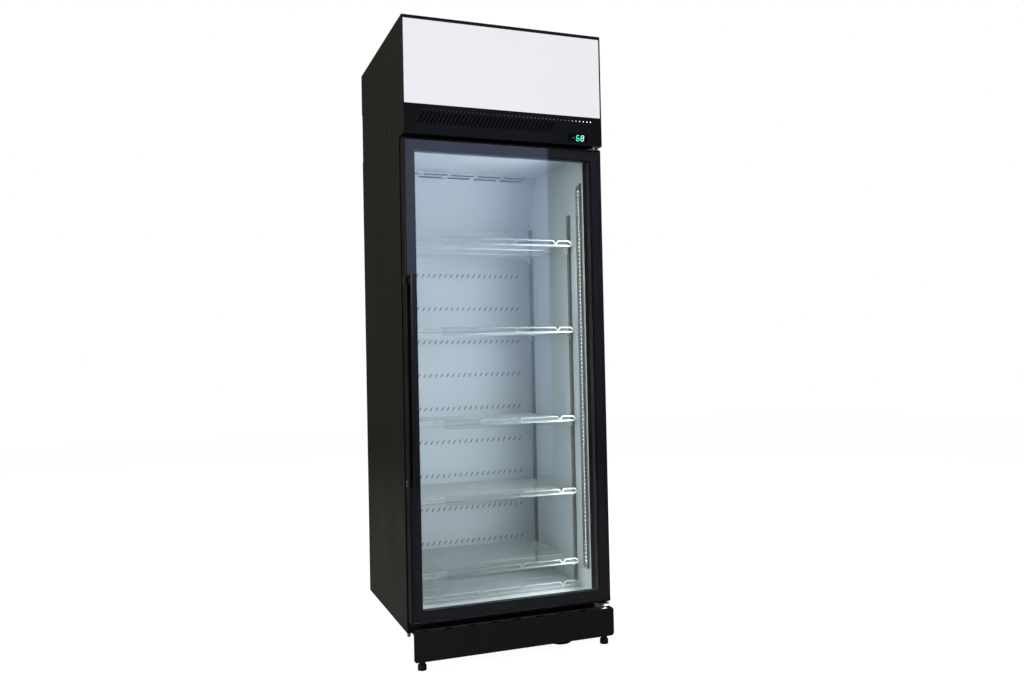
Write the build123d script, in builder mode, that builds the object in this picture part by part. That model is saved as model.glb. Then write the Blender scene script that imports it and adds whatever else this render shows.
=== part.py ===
from build123d import *
import math
import os

os.makedirs("parts", exist_ok=True)

# Upright refrigerated display case with one glass door and a lit sign box on top.
# Millimetres. +Z is up, the door faces -Y, +X is the hinge side.
# The origin is on the floor, under the middle of the outline.

# ---- driving sizes: the whole case ------------------------------------------------------
overall_width = 690.0
overall_height = 2050.0
body_depth = 650.0              # front of the sign box to the back sheet
handle_stand = 40.0             # door glass to the front of the handle
door_setback = 8.0              # the door stands this far behind the sign box front
leg_height = 98.0               # floor to the underside of the cabinet
sheet = 1.2                     # painted steel sheet
touch = 0.3                     # gap between pieces that only sit close

# ---- driving sizes: cabinet and lining --------------------------------------------------
compartment_height = 330.0      # machine compartment above the insulated box
canopy_height = 376.0           # sign box with the vent panel below it
side_wall = 45.0                # outer face to inner face, sides
floor_wall = 63.0
top_wall = 58.0
back_wall = 50.0
liner_sheet = 1.0
mouth_drop = 26.0               # the mouth's top edge hangs below the ceiling
mouth_lip = 24.0                # depth of that edge

# ---- driving sizes: door ----------------------------------------------------------------
door_thickness = 45.0
door_side_gap = 2.0             # door edge inside the cabinet side
door_top_gap = 11.0
door_floor_gap = 40.0           # cabinet underside to the door's bottom edge
door_border = 36.0              # printed border, as wide as the frame behind the glass
door_edge = 4.5                 # frame edge that shows round the glass
pane = 4.0
pane_gap = 12.0
gasket_depth = 13.0
gasket_width = 14.0
hinge_inset = 14.0              # door edge to the hinge line
hinge_back = 33.0               # door front to the hinge line
pin_radius = 4.0
running_gap = 0.05

# ---- driving sizes: handle --------------------------------------------------------------
handle_length = 666.0
handle_above_door_base = 424.0
handle_bar = 18.0
handle_inset = 7.0              # door edge to the bar
bracket_height = 25.0
strap = 1.7

# ---- driving sizes: shelves -------------------------------------------------------------
shelf_side_gap = 14.0           # lining to the centre of the side wires
shelf_front_gap = 74.0          # cabinet mouth to the front wire
shelf_depth = 426.0
frame_wire = 2.5                # radii of the wires
cross_wire = 2.0
deck_wire = 1.3
deck_count = 51
deck_inset = 6.0                # side wire to the first deck wire
rail_rise = 16.0                # wavy guard rail above the front wire
shelf_places = (0.7935, 0.5923, 0.3864, 0.2185, 0.0566)     # up the inside height
base_shelf_rise = 9.0
strip_short = 96.0              # side wire to the price strip's end
strip_height = 30.0

# ---- driving sizes: kick plate and supports ---------------------------------------------
kick_height = 95.0
kick_clearance = 28.0           # floor to the kick plate
kick_forward = 12.0             # stands this far in front of the sign box
foot_radius = 14.0
foot_spread = 314.0
foot_height = 28.0
stem_radius = 6.0
roller_radius = 30.0
roller_width = 24.0
roller_spread = 250.0
axle_radius = 4.0

# ---- places worked out from the sizes above ---------------------------------------------
half = overall_width / 2
y_canopy = -(body_depth - door_setback + handle_stand) / 2 + handle_stand - door_setback
y_door = y_canopy + door_setback
y_door_back = y_door + door_thickness
y_cabinet = y_door_back + gasket_depth
y_back = y_canopy + body_depth
z_cabinet_top = overall_height - compartment_height
z_canopy = overall_height - canopy_height
z_door = leg_height + door_floor_gap
z_door_top = z_canopy - door_top_gap
z_floor = leg_height + floor_wall
z_ceiling = z_cabinet_top - top_wall
z_mouth_top = z_ceiling - mouth_drop
inner_half = half - side_wall
y_inner_back = y_back - back_wall
door_half = half - door_side_gap
hinge_x = door_half - hinge_inset
hinge_y = y_door + hinge_back
z_kick_top = kick_clearance + kick_height
y_kick = y_canopy - kick_forward
inside_height = z_ceiling - z_floor
y_shelf = y_cabinet + shelf_front_gap
shelf_half = inner_half - shelf_side_gap
shelf_levels = [z_floor + place * inside_height for place in shelf_places]
shelf_levels.append(z_floor + base_shelf_rise)


def slab(x0, x1, y0, y1, z0, z1, mode=Mode.ADD):
    """A box between two opposite corners."""
    with Locations(((x0 + x1) / 2, (y0 + y1) / 2, (z0 + z1) / 2)):
        Box(x1 - x0, y1 - y0, z1 - z0, mode=mode)


def rod(start, direction, radius, length, mode=Mode.ADD):
    """A round bar from a point along a direction."""
    with Locations(Plane(origin=start, z_dir=direction)):
        Cylinder(radius, length, align=(Align.CENTER, Align.CENTER, Align.MIN), mode=mode)


def tube_run(points, radius):
    """A bent round bar: straight lengths with a ball at each bend."""
    for start, end in zip(points, points[1:]):
        run = Vector(*end) - Vector(*start)
        rod(start, run, radius, run.length)
    with Locations(*points[1:-1]):
        Sphere(radius)


def save(piece, label):
    piece.part.label = label
    export_step(piece.part, "parts/" + label + ".step")


# ---- insulated cabinet ------------------------------------------------------------------
drain_x = 177.0
drain_y = y_inner_back - 8.0
drain_radius = 6.0
drain_hole = drain_radius + 1.0
drain_clear = 20.0             # the bore is cut this far past both sheets


def lining_space(grow, mode):
    """The room inside the lining, made larger all round by the lining's own sheet."""
    front = y_cabinet + sheet
    slab(-inner_half - grow, inner_half + grow, front, front + mouth_lip,
         z_floor - grow, z_mouth_top + grow, mode=mode)
    slab(-inner_half - grow, inner_half + grow, front + mouth_lip - grow, y_inner_back + grow,
         z_floor - grow, z_ceiling + grow, mode=mode)


def drain_bore():
    """The way of the condensate hose down through the floor."""
    rod((drain_x, drain_y, leg_height - drain_clear), (0, 0, 1), drain_hole,
        floor_wall + 2 * drain_clear, mode=Mode.SUBTRACT)


with BuildPart() as outer_cabinet:
    slab(-half, half, y_cabinet, y_back - sheet, leg_height, z_cabinet_top)
    slab(-half + sheet, half - sheet, y_cabinet + sheet, y_back,
         leg_height + sheet, z_cabinet_top - sheet, mode=Mode.SUBTRACT)
    slab(-inner_half, inner_half, y_cabinet - 1, y_cabinet + 2 * sheet,
         z_floor, z_mouth_top, mode=Mode.SUBTRACT)
    drain_bore()
save(outer_cabinet, "outer_cabinet")

with BuildPart() as rear_panel:
    slab(-half, half, y_back - sheet, y_back, leg_height, z_cabinet_top)
save(rear_panel, "rear_panel")

with BuildPart() as inner_liner:
    lining_space(liner_sheet, Mode.ADD)
    lining_space(0, Mode.SUBTRACT)
    drain_bore()
save(inner_liner, "inner_liner")

with BuildPart() as foam_insulation:
    slab(-half + sheet, half - sheet, y_cabinet + sheet, y_back - sheet,
         leg_height + sheet, z_cabinet_top - sheet)
    lining_space(liner_sheet, Mode.SUBTRACT)
    drain_bore()
save(foam_insulation, "foam_insulation")

# ---- base frame, feet, rollers ----------------------------------------------------------
plate = 3.0
foot_body = 0.6                 # share of the foot's height that is the round pad
foot_round = 2.0
foot_nut = 0.75                 # the nut's corner radius against the pad's
stem_reach = 12.0               # the stem runs this far up past the beam
stem_chamfer = 1.0
beam_drop = 32.0
beam_half = foot_spread + foot_radius
beam_reach = 44.0               # how far the front beam runs in under the cabinet
rail_half = 30.0
rail_plate = 2.0
y_beam = y_kick + sheet
y_foot = y_canopy + 6.0
y_rail = y_cabinet + beam_reach
y_rail_back = y_back - 14.0
y_roller = y_back - 50.0
boss_radius = 12.0
boss_drop = 20.0
z_beam = leg_height - beam_drop

with BuildPart() as base_frame:
    slab(-beam_half, beam_half, y_beam, y_rail, leg_height - plate, leg_height)
    slab(-beam_half, beam_half, y_beam, y_beam + rail_plate, z_beam, leg_height)
    for side in (-1, 1):
        centre = side * roller_spread
        slab(centre - rail_half, centre + rail_half, y_rail, y_rail_back,
             leg_height - plate, leg_height)
        for edge in (centre - rail_half, centre + rail_half - rail_plate):
            slab(edge, edge + rail_plate, y_rail, y_rail_back, z_beam, leg_height)
        foot_x = side * foot_spread
        rod((foot_x, y_foot, leg_height - boss_drop), (0, 0, 1), boss_radius, boss_drop)
        rod((foot_x, y_foot, z_beam), (0, 0, 1), stem_radius + running_gap, beam_drop + 1,
            mode=Mode.SUBTRACT)
save(base_frame, "base_frame")

for name, side in (("front_foot_left", -1), ("front_foot_right", 1)):
    foot_base = Plane(origin=(side * foot_spread, y_foot, 0), z_dir=(0, 0, 1))
    with BuildPart() as foot:
        with BuildSketch(foot_base):
            Circle(foot_radius)
        extrude(amount=foot_height * foot_body)
        fillet(foot.edges().group_by(Axis.Z)[-1], foot_round)
        with BuildSketch(foot_base.offset(foot_height * foot_body)):
            RegularPolygon(foot_radius * foot_nut, 6)
        extrude(amount=foot_height * (1 - foot_body))
        with BuildSketch(foot_base.offset(foot_height)):
            Circle(stem_radius)
        extrude(amount=leg_height - foot_height + stem_reach)
        chamfer(foot.edges().group_by(Axis.Z)[-1], stem_chamfer)
        chamfer(foot.edges().group_by(Axis.Z)[0], stem_chamfer)
    save(foot, name)

fork_plate = 3.0
fork_gap = 1.0
fork_half = roller_width / 2 + fork_gap
fork_width = 40.0
fork_below_axle = 9.0
fork_round = 6.0
axle_end = 2.0                  # the axle's heads: how thick, and how much wider than the axle
axle_length = 2 * (fork_half + fork_plate + axle_end)
wheel_round = 3.0
wheel_rim = 7.0
wheel_hub = 5.0
wheel_dish = 3.0

with BuildPart() as roller_brackets:
    for side in (-1, 1):
        centre = side * roller_spread
        z_top = leg_height - plate
        slab(centre - fork_half - fork_plate, centre + fork_half + fork_plate,
             y_roller - fork_width / 2, y_roller + fork_width / 2, z_top - fork_plate, z_top)
        for inner in (centre - fork_half - fork_plate, centre + fork_half):
            slab(inner, inner + fork_plate, y_roller - fork_width / 2, y_roller + fork_width / 2,
                 roller_radius - fork_below_axle, z_top)
        rod((centre - axle_length, y_roller, roller_radius), (1, 0, 0), axle_radius,
            2 * axle_length, mode=Mode.SUBTRACT)
    fillet(roller_brackets.edges().filter_by(Axis.X).group_by(Axis.Z)[0], fork_round)
save(roller_brackets, "roller_brackets")

with BuildPart() as roller_axles:
    for side in (-1, 1):
        start = side * roller_spread - axle_length / 2
        rod((start, y_roller, roller_radius), (1, 0, 0), axle_radius, axle_length)
        for head in (start - axle_end, start + axle_length):
            rod((head, y_roller, roller_radius), (1, 0, 0), axle_radius + axle_end, axle_end)
save(roller_axles, "roller_axles")

for name, side in (("rear_roller_left", -1), ("rear_roller_right", 1)):
    with BuildPart() as roller:
        wheel_face = Plane(origin=(side * roller_spread - roller_width / 2, y_roller, roller_radius),
                           z_dir=(1, 0, 0))
        with BuildSketch(wheel_face):
            Circle(roller_radius)
        extrude(amount=roller_width)
        fillet(roller.edges().filter_by(GeomType.CIRCLE), wheel_round)
        for face_plane in (wheel_face, wheel_face.offset(roller_width)):
            with BuildSketch(face_plane):
                Circle(roller_radius - wheel_rim)
                Circle(axle_radius + wheel_hub, mode=Mode.SUBTRACT)
            extrude(amount=wheel_dish, both=True, mode=Mode.SUBTRACT)
        with BuildSketch(wheel_face):
            Circle(axle_radius + running_gap)
        extrude(amount=roller_width, mode=Mode.SUBTRACT)
    save(roller, name)

# ---- kick plate -------------------------------------------------------------------------
kick_half = half - 1.5
kick_flange = 18.0
kick_notch = 26.0
kick_notch_depth = 3.0
kick_notch_count = 9
kick_corner = 7.0

with BuildPart() as kick_plate:
    with BuildSketch(Plane.XZ.offset(-(y_kick + sheet))):
        with Locations((0, kick_clearance + kick_height / 2)):
            Rectangle(2 * kick_half, kick_height)
    extrude(amount=sheet)
    outline = kick_plate.edges().filter_by(Axis.Y)
    chamfer(outline, kick_corner)
    slab(-kick_half + kick_corner, kick_half - kick_corner, y_kick + sheet, y_kick + kick_flange,
         z_kick_top - sheet, z_kick_top)
    with Locations((0, y_kick, z_kick_top)):
        with GridLocations(2 * kick_half / kick_notch_count, 1, kick_notch_count, 1):
            Box(kick_notch, kick_flange, 2 * kick_notch_depth, mode=Mode.SUBTRACT)
save(kick_plate, "kick_plate")

# ---- machine compartment ----------------------------------------------------------------
hood_start = 58.0               # sign box depth; the hood begins behind it
wing_start = 2.0                # the wing's low front corner above the cabinet top
wing_rise = 176.0               # the wing's lower edge climbs this much to the back
y_hood = y_canopy + hood_start
grille_rows = 14
grille_columns = 3
grille_slot = 6.0
grille_slot_length = 180.0
inlet_x = 250.0
inlet_z = z_cabinet_top + 40.0
gland_radius = 9.0
gland_length = 34.0
cord_radius = 4.0
cord_grip = 12.0                # how deep the cord sits in the gland
terminal_half_width = 32.0
terminal_half_height = 28.0
terminal_depth = 34.0
terminal_lap = 8.0              # the terminal box overlaps the gland by this much
terminal_round = 4.0
grille_rise = 0.6               # middle of the slots, as a share of the compartment
grille_bar = 24.0               # sheet left between two columns of slots

with BuildPart() as compartment_sides:
    for outer in (-half + sheet, half - 2 * sheet):
        slab(outer, outer + sheet, y_hood + touch, y_back - sheet,
             z_cabinet_top, overall_height - sheet)
save(compartment_sides, "compartment_sides")

with BuildPart() as hood:
    slab(-half, half, y_hood, y_back, overall_height - sheet, overall_height)
    for outer in (-half, half - sheet):
        with BuildSketch(Plane.YZ.offset(outer)):
            with BuildLine():
                Polyline((y_hood, overall_height), (y_hood, z_cabinet_top + wing_start),
                         (y_back, z_cabinet_top + wing_start + wing_rise),
                         (y_back, overall_height), close=True)
            make_face()
        extrude(amount=sheet)
save(hood, "hood")

with BuildPart() as rear_grille:
    slab(-half + 2 * sheet, half - 2 * sheet, y_back - sheet, y_back,
         z_cabinet_top, overall_height - sheet)
    grille_centre = Plane(origin=(0, y_back, z_cabinet_top + compartment_height * grille_rise),
                          x_dir=(1, 0, 0), z_dir=(0, 1, 0))
    with BuildSketch(grille_centre):
        with GridLocations(grille_slot_length + grille_bar, 2 * grille_slot,
                           grille_columns, grille_rows):
            SlotOverall(grille_slot_length, grille_slot)
    extrude(amount=-2 * sheet, mode=Mode.SUBTRACT)
    rod((inlet_x, y_back - 3 * sheet, inlet_z), (0, 1, 0), gland_radius + running_gap, 4 * sheet,
        mode=Mode.SUBTRACT)
save(rear_grille, "rear_grille")

with BuildPart() as power_inlet:
    rod((inlet_x, y_back - gland_length, inlet_z), (0, 1, 0), gland_radius, gland_length)
    y_terminal = y_back - gland_length + terminal_lap
    slab(inlet_x - terminal_half_width, inlet_x + terminal_half_width,
         y_terminal - terminal_depth, y_terminal,
         inlet_z - terminal_half_height, inlet_z + terminal_half_height)
    fillet(power_inlet.edges().filter_by(Axis.Y).filter_by(GeomType.LINE), terminal_round)
    rod((inlet_x, y_back - cord_grip, inlet_z), (0, 1, 0), cord_radius, cord_grip + 1,
        mode=Mode.SUBTRACT)
save(power_inlet, "power_inlet")

# ---- sign box ---------------------------------------------------------------------------
vent_height = 97.0
sign_border_top = 11.0
sign_border_side = 5.0
sign_overlap = 2.0
sign_thickness = 3.0
canopy_lip = 20.0
z_sign = z_canopy + vent_height
z_sign_top = overall_height - sign_border_top
sign_half = half - sign_border_side

with BuildPart() as canopy_housing:
    slab(-half, half, y_canopy, y_hood, z_canopy, overall_height)
    slab(-half + sheet, half - sheet, y_canopy + sheet, y_hood - sheet,
         z_sign, overall_height - sheet, mode=Mode.SUBTRACT)
    slab(-half + sheet, half - sheet, y_canopy - 1, y_hood + 1,
         z_canopy + sheet, z_sign - sheet, mode=Mode.SUBTRACT)
    slab(-half + sheet, half - sheet, y_canopy + canopy_lip, y_hood + 1,
         z_canopy - 1, z_canopy + 2 * sheet, mode=Mode.SUBTRACT)
    slab(-sign_half, sign_half, y_canopy - 1, y_canopy + 2 * sheet,
         z_sign, z_sign_top, mode=Mode.SUBTRACT)
save(canopy_housing, "canopy_housing")

with BuildPart() as sign_panel:
    slab(-sign_half - sign_overlap, sign_half + sign_overlap,
         y_canopy + sheet, y_canopy + sheet + sign_thickness, z_sign, z_sign_top + sign_overlap)
save(sign_panel, "sign_panel")

# ---- vent panel and controller ----------------------------------------------------------
vent_pitch = 13.5
vent_slot_count = 34
vent_slot_start = 287.0         # left of centre, middle of the first slot
vent_slot_rise = 37.0
vent_slot_lean = 20.5
vent_slot_width = 5.0
vent_hole_count = 44
vent_hole_radius = 1.9
vent_hole_start = 276.0
z_vent_slots = z_canopy + 54.0
z_vent_holes = z_canopy + 81.0
window_x = 257.0
window_width = 74.0
window_height = 29.0
z_window = z_canopy + 24.5
button_radius = 5.0
button_gap = 0.3
button_proud = 1.5
button_length = 7.5
button_travel = 1.5
button_round = 1.0
button_places = (("button_set", 256.0), ("button_light", 298.0))
z_button = z_canopy + 50.0
window_round = 3.0
y_lens_back = y_canopy + 2.2
y_controller = y_canopy + 3.0
controller_depth = 24.0
controller_side = 8.0           # window edge to the housing's side
controller_wire_room = 22.0     # the same at the other side, past the buttons
controller_below = 5.0
controller_above = 9.0
controller_foot = 6.0           # the foot that meets the vent panel's back

vent_face = Plane(origin=(0, y_canopy, 0), x_dir=(1, 0, 0), z_dir=(0, -1, 0))
slot_angle = math.degrees(math.atan2(vent_slot_rise, vent_slot_lean))
slot_length = math.hypot(vent_slot_rise, vent_slot_lean)

with BuildPart() as vent_panel:
    slab(-half + sheet + touch, half - sheet - touch, y_canopy, y_canopy + sheet,
         z_canopy + sheet, z_sign - sheet)
    with BuildSketch(vent_face):
        slot_middles = [(-vent_slot_start + i * vent_pitch, z_vent_slots)
                        for i in range(vent_slot_count)]
        with Locations(*slot_middles):
            SlotOverall(slot_length, vent_slot_width, rotation=slot_angle)
        hole_middles = [(-vent_hole_start + i * vent_pitch, z_vent_holes)
                        for i in range(vent_hole_count)]
        with Locations(*hole_middles):
            Circle(vent_hole_radius)
        with Locations((window_x, z_window)):
            RectangleRounded(window_width, window_height, window_round)
        for name, place in button_places:
            with Locations((place, z_button)):
                Circle(button_radius + button_gap)
    extrude(amount=-2 * sheet, mode=Mode.SUBTRACT)
save(vent_panel, "vent_panel")

with BuildPart() as controller_housing:
    x_controller = window_x - window_width / 2 - controller_side
    z_controller = z_window - window_height / 2 - controller_below
    slab(x_controller, window_x + window_width / 2 + controller_wire_room, y_controller,
         y_controller + controller_depth, z_controller, z_button + controller_above)
    slab(x_controller, x_controller + controller_foot, y_canopy + sheet, y_controller,
         z_controller, z_button + controller_above)
    for name, place in button_places:
        rod((place, y_canopy, z_button), (0, 1, 0), button_radius + button_gap,
            button_length + button_travel, mode=Mode.SUBTRACT)
save(controller_housing, "controller_housing")

with BuildPart() as display_lens:
    with BuildSketch(vent_face):
        with Locations((window_x, z_window)):
            RectangleRounded(window_width - 2 * touch, window_height - 2 * touch,
                             window_round - touch)
    extrude(amount=-(y_lens_back - y_canopy))
save(display_lens, "display_lens")

for name, place in button_places:
    with BuildPart() as button:
        rod((place, y_canopy - button_proud, z_button), (0, 1, 0), button_radius, button_length)
        fillet(button.edges().group_by(Axis.Y)[0], button_round)
    save(button, name)

# ---- light boards: sign box and cabinet lamp --------------------------------------------
board = 1.6
diode = 3.4
diode_height = 1.2
sign_board_height = 12.0
sign_board_half = sign_half - 30
sign_diode_pitch = 33.0
lamp_margin = 75.0              # lamp end to the mouth's edge
lamp_front = 7.0                # cabinet lip to the lamp
lamp_width = 52.0
lamp_depth = 10.8
lamp_base = 1.2
lamp_board_width = 14.0
lamp_board_setback = 3.0        # front edge of the housing to the board
lamp_board_end = 8.0
lamp_cap = 5.0
lamp_flat = 16.0                # flat part of the cover, before it slopes to the wall
lamp_cover_sheet = 1.0
lamp_cover_edge = 1.5
diode_pitch = 13.9
diode_end = 15.0                # lamp end to the first diode, at least
y_lamp = y_cabinet + sheet + lamp_front
z_lamp = z_floor + lamp_margin
z_lamp_top = z_mouth_top - lamp_margin
x_lamp = inner_half - lamp_base
y_board = y_lamp + lamp_base + lamp_board_setback
y_sign_board = y_hood - sheet - board
lamp_diodes = int((z_lamp_top - z_lamp - 2 * diode_end) / diode_pitch)
sign_diodes = int(2 * sign_board_half / sign_diode_pitch)
sign_rows = (z_sign + (z_sign_top - z_sign) * 0.3, z_sign + (z_sign_top - z_sign) * 0.7)

with BuildPart() as led_boards:
    for row in sign_rows:
        slab(-sign_board_half, sign_board_half, y_sign_board, y_sign_board + board,
             row - sign_board_height / 2, row + sign_board_height / 2)
        with Locations(Plane(origin=(0, y_sign_board, row), x_dir=(1, 0, 0), z_dir=(0, -1, 0))):
            with GridLocations(sign_diode_pitch, 1, sign_diodes, 1):
                Box(diode, diode, 2 * diode_height)
    slab(x_lamp - board, x_lamp, y_board, y_board + lamp_board_width,
         z_lamp + lamp_board_end, z_lamp_top - lamp_board_end)
    with Locations((x_lamp - board, y_board + lamp_board_width / 2, (z_lamp + z_lamp_top) / 2)):
        with Locations(Plane.YZ):
            with GridLocations(1, diode_pitch, 1, lamp_diodes):
                Box(diode, diode, 2 * diode_height)
save(led_boards, "led_boards")

with BuildPart() as lamp_housing:
    slab(x_lamp, inner_half, y_lamp, y_lamp + lamp_width, z_lamp, z_lamp_top)
    slab(inner_half - lamp_depth, x_lamp, y_lamp, y_lamp + lamp_base, z_lamp, z_lamp_top)
    for cap in (z_lamp, z_lamp_top - lamp_cap):
        with BuildSketch(Plane.XY.offset(cap)):
            with BuildLine():
                Polyline((x_lamp, y_lamp), (inner_half - lamp_depth, y_lamp),
                         (inner_half - lamp_depth, y_lamp + lamp_flat),
                         (x_lamp - lamp_cover_sheet, y_lamp + lamp_width),
                         (x_lamp, y_lamp + lamp_width), close=True)
            make_face()
        extrude(amount=lamp_cap)
save(lamp_housing, "lamp_housing")

with BuildPart() as lamp_cover:
    with BuildSketch(Plane.XY.offset(z_lamp + lamp_cap)):
        with BuildLine():
            x_face = inner_half - lamp_depth
            x_within = x_face + lamp_cover_sheet
            Polyline((x_face, y_lamp + lamp_base), (x_face, y_lamp + lamp_flat),
                     (x_lamp - lamp_cover_sheet, y_lamp + lamp_width),
                     (x_lamp, y_lamp + lamp_width), (x_lamp, y_lamp + lamp_width - lamp_cover_edge),
                     (x_within, y_lamp + lamp_flat - lamp_cover_sheet / 2),
                     (x_within, y_lamp + lamp_base), close=True)
        make_face()
    extrude(amount=z_lamp_top - z_lamp - 2 * lamp_cap)
save(lamp_cover, "lamp_cover")

# ---- door -------------------------------------------------------------------------------
glass_recess = 0.6
unit_depth = glass_recess + 2 * pane + pane_gap
rebate_half = door_half - door_edge
opening_half = door_half - door_border
bush_radius = 7.0
bush_length = 14.0
bush_flange = 10.0
spacer_inset = 12.0
spacer_width = 8.0
frame_round = 2.0
gasket_z_inset = 5.0
gasket_lip = 4.0
gasket_step = 2.0


def door_ring(inset_x, inset_z, width, y0, y1):
    """A rectangular ring in the door's plane."""
    outer = door_half - inset_x
    low = z_door + inset_z
    high = z_door_top - inset_z
    slab(-outer, outer, y0, y1, low, high)
    slab(-outer + width, outer - width, y0 - 1, y1 + 1, low + width, high - width,
         mode=Mode.SUBTRACT)


with BuildPart() as door_frame:
    slab(-door_half, door_half, y_door, y_door_back, z_door, z_door_top)
    fillet(door_frame.edges().filter_by(Axis.Z), frame_round)
    slab(-rebate_half, rebate_half, y_door - 1, y_door + unit_depth,
         z_door + door_edge, z_door_top - door_edge, mode=Mode.SUBTRACT)
    slab(-opening_half, opening_half, y_door - 1, y_door_back + 1,
         z_door + door_border, z_door_top - door_border, mode=Mode.SUBTRACT)
    for start, direction in ((z_door, 1), (z_door_top, -1)):
        rod((hinge_x, hinge_y, start), (0, 0, direction), bush_radius, bush_length,
            mode=Mode.SUBTRACT)
save(door_frame, "door_frame")

for name, pane_front in (("door_front_glass", y_door + glass_recess),
                         ("door_rear_glass", y_door + glass_recess + pane + pane_gap)):
    with BuildPart() as glass:
        slab(-rebate_half + touch, rebate_half - touch, pane_front, pane_front + pane,
             z_door + door_edge + touch, z_door_top - door_edge - touch)
    save(glass, name)

with BuildPart() as glass_spacer:
    spacer_front = y_door + glass_recess + pane
    door_ring(door_edge + spacer_inset, door_edge + spacer_inset, spacer_width,
              spacer_front, spacer_front + pane_gap)
save(glass_spacer, "glass_spacer")

with BuildPart() as door_gasket:
    door_ring(hinge_inset, gasket_z_inset, gasket_width, y_door_back, y_door_back + gasket_lip)
    door_ring(hinge_inset + gasket_step, gasket_z_inset + gasket_step,
              gasket_width - 2 * gasket_step,
              y_door_back + gasket_lip, y_cabinet - touch)
save(door_gasket, "door_gasket")

# ---- handle -----------------------------------------------------------------------------
z_handle = z_door + handle_above_door_base
z_handle_top = z_handle + handle_length
x_bar = -door_half + handle_inset
y_bar = y_door - handle_stand
strap_reach = 40.0
handle_screw_radius = 3.5
handle_screw_end = 7.0          # strap's end to the screw's centre
bar_round_front = 5.0
bar_round_back = 2.0
z_straps = (z_handle, z_handle_top - bracket_height)
y_handle_screw = y_door + 28.0

with BuildPart() as handle_bar_piece:
    slab(x_bar, x_bar + handle_bar, y_bar, y_bar + handle_bar, z_handle, z_handle_top)
    fillet(handle_bar_piece.edges().filter_by(Axis.Z).group_by(Axis.Y)[0], bar_round_front)
    fillet(handle_bar_piece.edges().filter_by(Axis.Z).group_by(Axis.Y)[-1], bar_round_back)
save(handle_bar_piece, "handle_bar")

with BuildPart() as handle_brackets:
    for z in z_straps:
        top = z + bracket_height
        slab(x_bar, x_bar + handle_bar, y_bar + handle_bar, y_door, z, top)
        slab(-door_half - strap, x_bar + handle_bar, y_door - strap, y_door, z, top)
        slab(-door_half - strap, -door_half, y_door - strap, y_door + strap_reach, z, top)
    for z in z_straps:
        for offset_z in (handle_screw_end, bracket_height - handle_screw_end):
            rod((-door_half - 2 * strap, y_handle_screw, z + offset_z), (1, 0, 0),
                handle_screw_radius, 3 * strap, mode=Mode.SUBTRACT)
save(handle_brackets, "handle_brackets")

with BuildPart() as door_screws:
    for z in z_straps:
        for offset_z in (handle_screw_end, bracket_height - handle_screw_end):
            rod((-door_half - strap, y_handle_screw, z + offset_z), (1, 0, 0),
                handle_screw_radius, strap)
save(door_screws, "door_screws")

# ---- hinges -----------------------------------------------------------------------------
hinge_plate = 4.0
hinge_plate_x = 36.0
upper_hinge_gap = 2.0
lower_hinge_gap = 8.0
upper_flange = 40.0
pin_depth = 12.0
hinge_round = 5.0
hinge_edge = 1.0                # cabinet side to the plate
lower_flange_gap = 1.0
bush_gap = 0.5
hinge_left = half - hinge_edge - hinge_plate_x
hinge_right = half - hinge_edge
y_hinge_front = y_door + 10.0
z_upper_plate = z_door_top + upper_hinge_gap
z_lower_plate = z_door - lower_hinge_gap - hinge_plate

with BuildPart() as hinge_brackets:
    slab(hinge_left, hinge_right, y_hinge_front, y_cabinet,
         z_upper_plate, z_upper_plate + hinge_plate)
    slab(hinge_left, hinge_right, y_cabinet - hinge_plate, y_cabinet,
         z_upper_plate, z_upper_plate + upper_flange)
    slab(hinge_left, hinge_right, y_hinge_front, y_cabinet,
         z_lower_plate, z_lower_plate + hinge_plate)
    slab(hinge_left, hinge_right, y_cabinet - hinge_plate, y_cabinet,
         leg_height + lower_flange_gap, z_lower_plate + hinge_plate)
    fillet(hinge_brackets.edges().filter_by(Axis.Z).group_by(Axis.Y)[0], hinge_round)
    rod((hinge_x, hinge_y, z_upper_plate), (0, 0, -1), pin_radius, upper_hinge_gap + pin_depth)
    rod((hinge_x, hinge_y, z_lower_plate + hinge_plate), (0, 0, 1), pin_radius,
        lower_hinge_gap + pin_depth)
save(hinge_brackets, "hinge_brackets")

with BuildPart() as hinge_bushes:
    for door_end, plate_face, inward in ((z_door_top, z_upper_plate, -1),
                                         (z_door, z_lower_plate + hinge_plate, 1)):
        flange_top = plate_face + inward * bush_gap
        rod((hinge_x, hinge_y, flange_top), (0, 0, inward), bush_flange,
            abs(door_end - flange_top))
        rod((hinge_x, hinge_y, door_end), (0, 0, inward), bush_radius, bush_length)
    rod((hinge_x, hinge_y, z_lower_plate), (0, 0, 1), pin_radius + running_gap,
        z_upper_plate - z_lower_plate + hinge_plate, mode=Mode.SUBTRACT)
save(hinge_bushes, "hinge_bushes")

# ---- screws and bolts of the fixed cabinet ----------------------------------------------
side_screw_places = ((y_canopy + 187.0, z_cabinet_top - 5.0),
                     (y_canopy + 172.0, z_cabinet_top + 12.0))
side_screw_radius = 4.5
side_screw_height = 1.2
corner_bolt_x = half - 7.5
corner_bolt_y = y_cabinet + 9.0
corner_bolt_drop = 12.0
corner_bolt_radius = 5.5
hinge_bolt_radius = 4.5
hinge_bolt_height = 3.0
hinge_bolt_edge = 9.0
upper_bolt_rises = (16.0, 30.0)

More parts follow.
